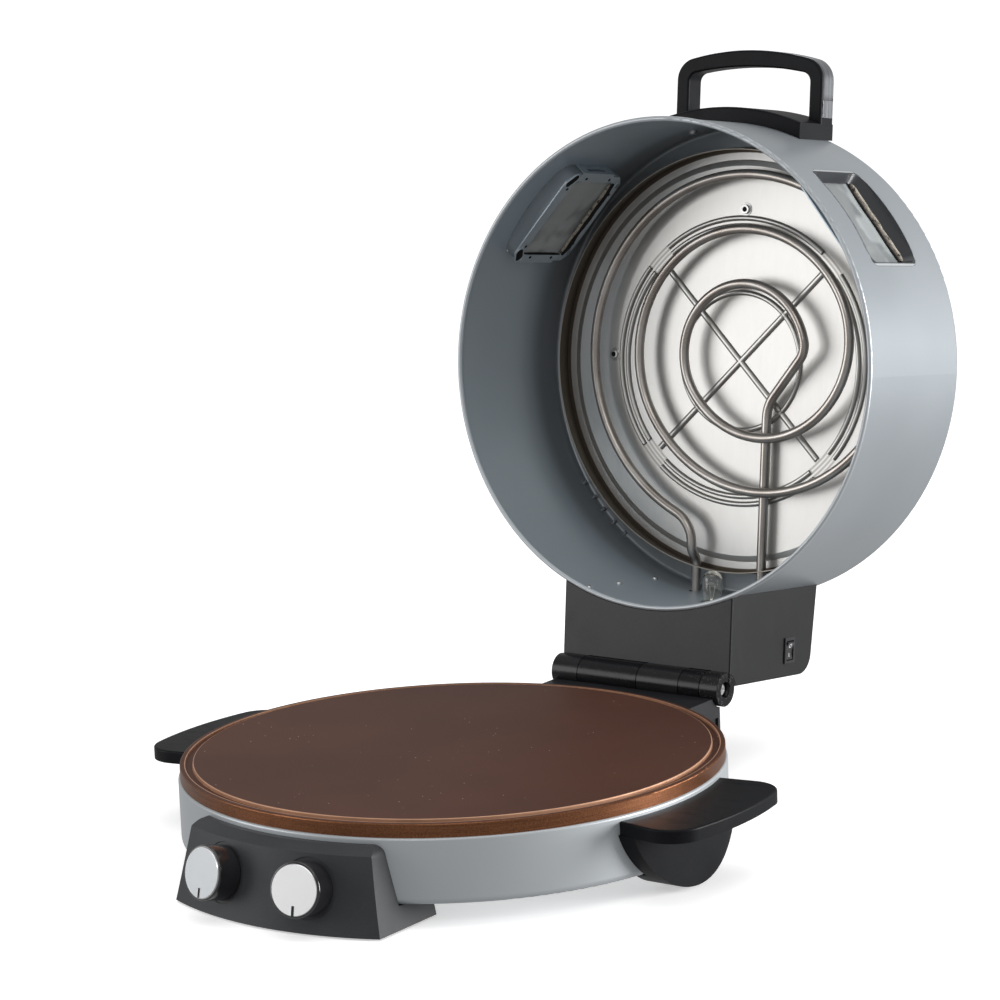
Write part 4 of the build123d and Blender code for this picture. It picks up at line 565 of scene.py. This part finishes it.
finishes = {
    "grey_enamel": greyEnamel(enamelLook), "bronze_coating": bronzeCoating(plateLook),
    "reflector_steel": reflectorSteel(reflectorLook), "heater_tube": heaterTube(tubeLook),
    "black_moulding": blackMoulding(mouldingLook), "black_gloss": blackGloss(glossLook),
    "bright_strip": brightStrip(stripLook), "plain_steel": plainSteel(zincLook),
    "window_glass": windowGlass(glassLook), "rubber_pad": rubberPad(rubberLook), "ceramic": ceramic(ceramicLook),
}
gripFinish = blackMoulding(gripLook, "gripMoulding")
special = {
    "timer_knob_cap": spunSilver(capLook, -1), "thermostat_knob_cap": spunSilver(rightCapLitLook, 1),
    "lamp_bulb": bulbGlass(bulbLook), "switch_rocker": rockerGloss(rockerLook),
    "control_panel": blackMoulding(panelLitLook, "panelLitMoulding"),
    "lid_housing": blackMoulding(housingLitShadedLook, "housingLitShadedMoulding"),
    "housing_rivets": plainSteel(rivetLook, "rivetSteel"),
    "lid_handle": gripFinish, "side_handle_left": gripFinish, "side_handle_right": gripFinish,
    "window_bezel_left": bezelEnamel(bezelLook, "left"), "window_bezel_right": bezelEnamel(bezelLook, "right"),
}
for part in frame["record"]["subparts"]:
    finish = special.get(part["node"]) or finishes[part["material_slot"]]
    slots = frame["nodes"][part["node"]].data.materials
    if not slots:
        slots.append(finish)
    for index in range(len(slots)):
        slots[index] = finish
print("finishes on", len(frame["nodes"]), "nodes")


# Small pieces that only the picture needs; each one is a mesh in metres, placed by its own frame
flipped = Matrix.Rotation(pi, 4, "X")      # turns a frame's z from outward to inward


def bearCap(form, place, radius, segments=16):
    made = bmesh.ops.create_circle(form, cap_ends=True, radius=radius, segments=segments, matrix=place)
    return made["verts"][0].link_faces[0]


def pull(form, face, place, rise, grow=1.0):
    # draws a cap on along its frame, and grows or shrinks it about its middle
    ring = bmesh.ops.extrude_face_region(form, geom=[face])["geom"]
    corners = [item for item in ring if isinstance(item, bmesh.types.BMVert)]
    tip = [item for item in ring if isinstance(item, bmesh.types.BMFace)][0]
    form.faces.remove(face)
    bmesh.ops.translate(form, verts=corners, vec=place.to_3x3() @ Vector((0, 0, rise)))
    middle = tip.calc_center_median()
    bmesh.ops.scale(form, verts=corners, vec=(grow, grow, grow), space=Matrix.Translation(-middle))
    return tip


def draw(form, face, place, profile):
    # pulls a cap through a profile of rises and growths
    for rise, grow in profile:
        face = pull(form, face, place, rise, grow)
    return face


weld = 0.000005      # nearer corners than this are one


def openEdges(form):
    return [edge for edge in form.edges if edge.is_boundary]


def finishPiece(name, form, finish, smooth=True):
    bmesh.ops.remove_doubles(form, verts=form.verts, dist=weld)
    bmesh.ops.holes_fill(form, edges=openEdges(form), sides=0)
    bmesh.ops.recalc_face_normals(form, faces=form.faces)
    mesh = bpy.data.meshes.new(name)
    for face in form.faces:
        face.smooth = smooth
    form.to_mesh(mesh)
    form.free()
    piece = bpy.data.objects.new(name, mesh)
    scene.collection.objects.link(piece)
    mesh.materials.append(finish)
    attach(piece, "lid")
    return piece


strandLook = {"start": 0.55, "opening": [1.55, 1.17], "closing": [0.85, 0.65], "swell": 0.05, "beat": 2.3,
              "sway": (1.1, 0.7), "segments": 12}


def rope(form, place, length, radius, wander, steps=24, flat=1.0, phase=0.0, look=strandLook):
    # along the frame's z, its ends tapered, swelling and wandering a little
    face = bearCap(form, place @ Matrix.Diagonal((1, flat, 1, 1)), radius * look["start"], look["segments"])
    ends = len(look["opening"]) + len(look["closing"])
    across, down = look["sway"]
    for index, share in enumerate(look["opening"] + [1.0] * (steps - ends) + look["closing"]):
        swell = 1 + look["swell"] * sin(index * look["beat"] + phase)
        face = pull(form, face, place, length / steps, share * swell)
        sway = Vector((wander * sin(index * across + phase), wander * cos(index * down + phase), 0))
        bmesh.ops.translate(form, verts=face.verts, vec=place.to_3x3() @ sway)


def strand(form, side, length, far, rise, **shape):
    # a rope along a window's x, at that y and z of the window's frame
    start = windowFrames[side] @ Matrix.Translation((-length / 2, far, rise)) @ Matrix.Rotation(pi / 2, 4, "Y")
    rope(form, start, length, **shape)


studLook = {"bearings": (-125.5, -130.0, -134.0, -138.4, -142.6), "depths": (0.1350, 0.1362, 0.1372, 0.1384, 0.1392),
            "foot": 0.00189, "profile": ((0.0005, 0.74), (0.0032, 1.0), (0.0003, 0.7))}


def makeDrumStuds(look):
    form = bmesh.new()
    for bearing, depth in zip(look["bearings"], look["depths"]):
        place = onDrum(bearing, drumBore + seat, depth) @ flipped
        draw(form, bearCap(form, place, look["foot"]), place, look["profile"])
    return finishPiece("drum_studs", form, finishes["grey_enamel"], False)


grommetLook = {"bearing": -171.4, "depth": 0.1093, "radius": 0.0017,
               "profile": ((0.0006, 0.85), (0.0, 0.6), (-0.0005, 0.9))}


def makeGrommet(look):
    # a small black grommet beside the tube's leg
    form = bmesh.new()
    place = onDrum(look["bearing"], drumBore + seat, look["depth"]) @ flipped
    draw(form, bearCap(form, place, look["radius"]), place, look["profile"])
    return finishPiece("drum_grommet", form, rubberAndShadeFinish)


gasketLook = {"length": 0.076,
              "outer": {"far": 0.0270, "rise": -0.0112, "radius": 0.0021, "wander": 0.00020},
              "inner": {"far": 0.0243, "rise": -0.0182, "radius": 0.0013, "wander": 0.00012, "phase": 1.0}}


def makeGasket(side, look):
    form = bmesh.new()
    strand(form, side, look["length"], **look["outer"])
    strand(form, side, look["length"], **look["inner"])
    return finishPiece("window_gasket_" + side, form, ropeFinish)


# black ropes in the gaps beside the gasket: painted shade of the gaps
gapShadeLook = {"length": 0.078,
            "inner": {"far": 0.0279, "rise": -0.0181, "radius": 0.0026, "wander": 0.00030, "steps": 18, "flat": 0.7,
                      "phase": 0.6},
            "outer": {"far": 0.0244, "rise": -0.0122, "radius": 0.0009, "wander": 0.00030, "steps": 18,
                      "phase": 1.4},
            "endPlace": (-0.0391, -0.026, -0.0174),
            "end": {"length": 0.052, "radius": 0.0010, "wander": 0.0001, "steps": 12}}


def makeGapShade(side, look):
    form = bmesh.new()
    strand(form, side, look["length"], **look["inner"])
    strand(form, side, look["length"], **look["outer"])
    start = windowFrames[side] @ Matrix.Translation(look["endPlace"]) @ Matrix.Rotation(-pi / 2, 4, "X")
    rope(form, start, **look["end"])
    return finishPiece("window_gap_shade_" + side, form, rubberAndShadeFinish)


beadLook = {"length": 0.082, "far": 0.0311, "rise": -0.0183, "radius": 0.00065, "wander": 0.00028, "steps": 20,
            "phase": 0.6}


def makeBead(side, look):
    form = bmesh.new()
    strand(form, side, **look)
    return finishPiece("window_bead_" + side, form, finishes["grey_enamel"])


pocketLook = {"place": (0.0400, -0.0318), "length": 0.0130, "radius": 0.0047, "segments": 20, "turn": 38.0,
              "rise": -0.0180, "profile": ((0.0007, 0.94), (0.0, 0.86)), "well": (-0.00035, 0.97)}


def makePockets(side, look):
    # two slotted pockets in the near corners of the retaining plate: a bright rim round a shallow well painted black,
    # the painted shade of the cavity
    form = bmesh.new()
    for end in (-1, 1):
        x, y = look["place"]
        place = (windowFrames[side] @ Matrix.Translation((end * x, y, look["rise"]))
                 @ Matrix.Rotation(radians(end * look["turn"]), 4, "Z") @ flipped)
        face = bearCap(form, place, look["radius"], look["segments"])
        reach = look["length"] / 2 - look["radius"] / 2
        for corner in face.verts:
            local = place.inverted() @ corner.co
            corner.co = place @ Vector((local.x + (reach if local.x > 0 else -reach), local.y, local.z))
        well = pull(form, draw(form, face, place, look["profile"]), place, *look["well"])
        well.material_index = 1
    piece = finishPiece("window_pockets_" + side, form, finishes["grey_enamel"], False)
    piece.data.materials.append(rubberAndShadeFinish)
    return piece


# black dots on the retaining plate at its slots: painted shade of the openings
clipLook = {"places": ((0.031, -0.0306), (-0.031, -0.0306), (0.0426, -0.014), (0.0426, 0.019), (-0.0426, -0.014),
                       (-0.0426, 0.016), (0.027, 0.0335), (-0.027, 0.0335)),
            "radius": 0.00135, "segments": 14, "rise": -0.0180, "profile": ((0.0003, 0.95), (0.0002, 0.7))}


def makeClips(side, look):
    form = bmesh.new()
    for x, y in look["places"]:
        place = windowFrames[side] @ Matrix.Translation((x, y, look["rise"])) @ flipped
        draw(form, bearCap(form, place, look["radius"], look["segments"]), place, look["profile"])
    return finishPiece("window_clips_" + side, form, rubberAndShadeFinish)


lampLook = {"stem": 0.0040, "stemFoot": -0.0040, "stemFlat": 0.55,
            "stemProfile": ((0.0030, 0.85), (0.0040, 0.5), (0.0015, 0.6)),
            "wire": 0.00028, "wireSegments": 8, "wireFoot": (0.00104, 0.001), "wireLean": 0.11, "wireSteps": 4,
            "wireTop": 0.0150, "spread": 0.0026, "coilRise": 0.0006, "coil": 0.0011, "strand": 0.00022,
            "strandSegments": 6, "turns": 7, "turnSteps": 12}


def makeFilament(look):
    # pressed stem, two wires and the coil between them
    form = bmesh.new()
    flat = lampFrame @ Matrix.Translation((0, 0, look["stemFoot"])) @ Matrix.Diagonal((1, look["stemFlat"], 1, 1))
    draw(form, bearCap(form, flat, look["stem"]), lampFrame, look["stemProfile"])
    aside, rise = look["wireFoot"]
    for end in (-1, 1):
        wire = (lampFrame @ Matrix.Translation((end * aside, 0, rise))
                @ Matrix.Rotation(end * look["wireLean"], 4, "Y"))
        step = (look["wireTop"] / look["wireSteps"], 1.0)
        draw(form, bearCap(form, wire, look["wire"], look["wireSegments"]), wire, [step] * look["wireSteps"])
    centre = lampFrame @ Vector((-look["spread"], 0, look["wireTop"] + look["coilRise"]))
    turned = lampFrame.to_3x3()
    along = turned @ Vector((1, 0, 0))
    section = (Matrix.Translation(centre + turned @ Vector((0, 0, look["coil"]))) @ turned.to_4x4()
               @ Matrix.Rotation(pi / 2, 4, "X"))
    ring = bmesh.ops.create_circle(form, cap_ends=False, radius=look["strand"], segments=look["strandSegments"],
                                   matrix=section)
    edges = list({edge for corner in ring["verts"] for edge in corner.link_edges})
    steps = look["turns"] * look["turnSteps"]
    bmesh.ops.spin(form, geom=ring["verts"] + edges, cent=centre, axis=along, dvec=along * (look["spread"] * 2 / steps),
                   angle=2 * pi * look["turns"], steps=steps, use_merge=False)
    return finishPiece("lamp_filament", form, finishes["plain_steel"])


collarLook = {"radius": 0.0103, "foot": -0.0012, "segments": 32,
              "profile": ((0.0010, 0.97), (0.0002, 0.90), (0.0016, 0.985), (0.0, 0.93), (-0.0028, 1.0))}


def makeLampCollar(look):
    # rolled metal collar where the lamp comes out of its socket
    form = bmesh.new()
    place = lampFrame @ Matrix.Translation((0, 0, look["foot"]))
    face = bearCap(form, place, look["radius"], look["segments"])
    form.faces.remove(draw(form, face, place, look["profile"]))
    bmesh.ops.bridge_loops(form, edges=openEdges(form))
    return finishPiece("lamp_collar", form, finishes["plain_steel"])


washerLook = {"spread": 0.1245, "bearings": (0.0, 90.0, -90.0),
              "ring": 0.0039, "ringRise": 0.0003, "ringSegments": 24, "ringProfile": ((0.0006, 0.93), (0.0, 0.60)),
              "well": (-0.0002, 0.95),
              "washer": 0.0056, "washerRise": 0.0024, "washerSegments": 28,
              "washerProfile": ((0.0005, 0.96), (0.0001, 0.8))}


def makeWashers(look):
    # on each screw of the reflector a washer round the head and a shallow socket in it painted black, the painted shade
    # of its recess
    heads = [lidFrame.inverted() @ corner.co for corner in frame["nodes"]["reflector_screws"].data.vertices]
    top = min(spot.z for spot in heads)
    form = bmesh.new()
    for bearing in look["bearings"]:
        turn = radians(bearing)
        foot = lidFrame @ Matrix.Translation((look["spread"] * sin(turn), -look["spread"] * cos(turn), 0)) @ flipped
        place = foot @ Matrix.Translation((0, 0, -top - look["ringRise"]))
        face = draw(form, bearCap(form, place, look["ring"], look["ringSegments"]), place, look["ringProfile"])
        well = pull(form, face, place, *look["well"])
        well.material_index = 1
        place = foot @ Matrix.Translation((0, 0, -top - look["washerRise"]))
        draw(form, bearCap(form, place, look["washer"], look["washerSegments"]), place, look["washerProfile"])
    piece = finishPiece("reflector_washers", form, finishes["plain_steel"], False)
    piece.data.materials.append(rubberAndShadeFinish)
    return piece


stripFootLook = {"half": 0.0694, "proud": 0.0003, "letIn": 0.0004, "foot": 0.1993, "lap": 0.0020, "width": 0.0149,
                 "depth": 0.13375, "bevel": 0.0001}


def makeStripFeet(look):
    # the bright strip runs on down both legs of the handle
    form = bmesh.new()
    trim = [lidFrame.inverted() @ corner.co for corner in frame["nodes"]["lid_handle_trim"].data.vertices]
    top = min(-spot.y for spot in trim) + look["lap"]
    rise, middle = top - look["foot"], (top + look["foot"]) / 2
    for side in (-1, 1):
        place = lidFrame @ Matrix.Translation((side * (look["half"] + look["proud"] / 2), -middle, look["depth"]))
        size = Matrix.Diagonal((look["proud"] + look["letIn"], rise, look["width"], 1))
        made = bmesh.ops.create_cube(form, size=1, matrix=place @ size)
        edges = list({edge for corner in made["verts"] for edge in corner.link_edges})
        bmesh.ops.bevel(form, geom=edges, offset=look["bevel"], segments=2, affect="EDGES", profile=0.5, material=-1)
    return finishPiece("handle_strip_feet", form, finishes["bright_strip"], False)


ropeFinish = glassRope(ropeLook)
rubberAndShadeFinish = rubberPad(rubberAndShadeLook, "rubberAndShadeBlack")
makeDrumStuds(studLook)
makeGrommet(grommetLook)
for windowSide in windowFrames:
    makeGasket(windowSide, gasketLook)
    makeGapShade(windowSide, gapShadeLook)
    makeBead(windowSide, beadLook)
    makePockets(windowSide, pocketLook)
    makeClips(windowSide, clipLook)
makeFilament(lampLook)
makeLampCollar(collarLook)
makeWashers(washerLook)
makeStripFeet(stripFootLook)
print("small pieces made")


# Stage: floor, world and lamps
stageLook = {
    "floor": 400.0, "floorTone": (0.93, 0.93, 0.93, 1), "floorShade": (0.91, 0.91, 0.91, 1),
    "floorNoise": (3, 2), "floorGlow": 0.46,
    "world": 0.45, "sun": (0.10, 0.05, 1.0), "sunPower": 0.75, "sunAngle": 60.0, "aim": (0, 0.1, 0.2),
    "lamps": (      # name, place, width, power
        ("frontBox", (-2.4, -2.2, 0.75), 2.4, 42.0),
        ("keyBox", (0.8, -2.4, 1.9), 0.8, 9.0),
        ("sideBox", (2.4, 1.3, 0.38), 1.5, 120.0),
    ),
}


def setStage(look):
    form = bmesh.new()
    bmesh.ops.create_grid(form, x_segments=2, y_segments=2, size=look["floor"] / 2)
    mesh = bpy.data.meshes.new("studioFloor")
    form.to_mesh(mesh)
    form.free()
    floor = bpy.data.objects.new("studioFloor", mesh)
    scene.collection.objects.link(floor)
    material, shader, place = startFinish("studioFloor", {
        "Roughness": 0.9, "Specular IOR Level": 0.2, "Emission Color": (1, 1, 1, 1),
        "Emission Strength": look["floorGlow"]})
    feed(shader, color=place.clouds(*look["floorNoise"]).blend(look["floorShade"], look["floorTone"]))
    mesh.materials.append(material)
    floor.visible_diffuse = floor.visible_glossy = False    # as on a lit table, no bounce from below
    world = bpy.data.worlds.new("studioWorld")
    world.use_nodes = True
    background = world.node_tree.nodes["Background"]
    background.inputs["Color"].default_value = (1, 1, 1, 1)
    background.inputs["Strength"].default_value = look["world"]
    scene.world = world
    for name, place, size, power in look["lamps"]:
        data = bpy.data.lights.new(name, "AREA")
        data.shape, data.size, data.energy = "DISK", size, power
        lamp = bpy.data.objects.new(name, data)
        aim = Vector(look["aim"]) - Vector(place)
        lamp.matrix_world = Matrix.Translation(place) @ aim.to_track_quat("-Z", "Y").to_matrix().to_4x4()
        scene.collection.objects.link(lamp)
    data = bpy.data.lights.new("skyLamp", "SUN")
    data.energy, data.angle = look["sunPower"], radians(look["sunAngle"])
    sky = bpy.data.objects.new("skyLamp", data)
    sky.matrix_world = (-Vector(look["sun"])).to_track_quat("-Z", "Y").to_matrix().to_4x4()
    scene.collection.objects.link(sky)
    scene.view_settings.view_transform = "Standard"


setStage(stageLook)
print("stage set")
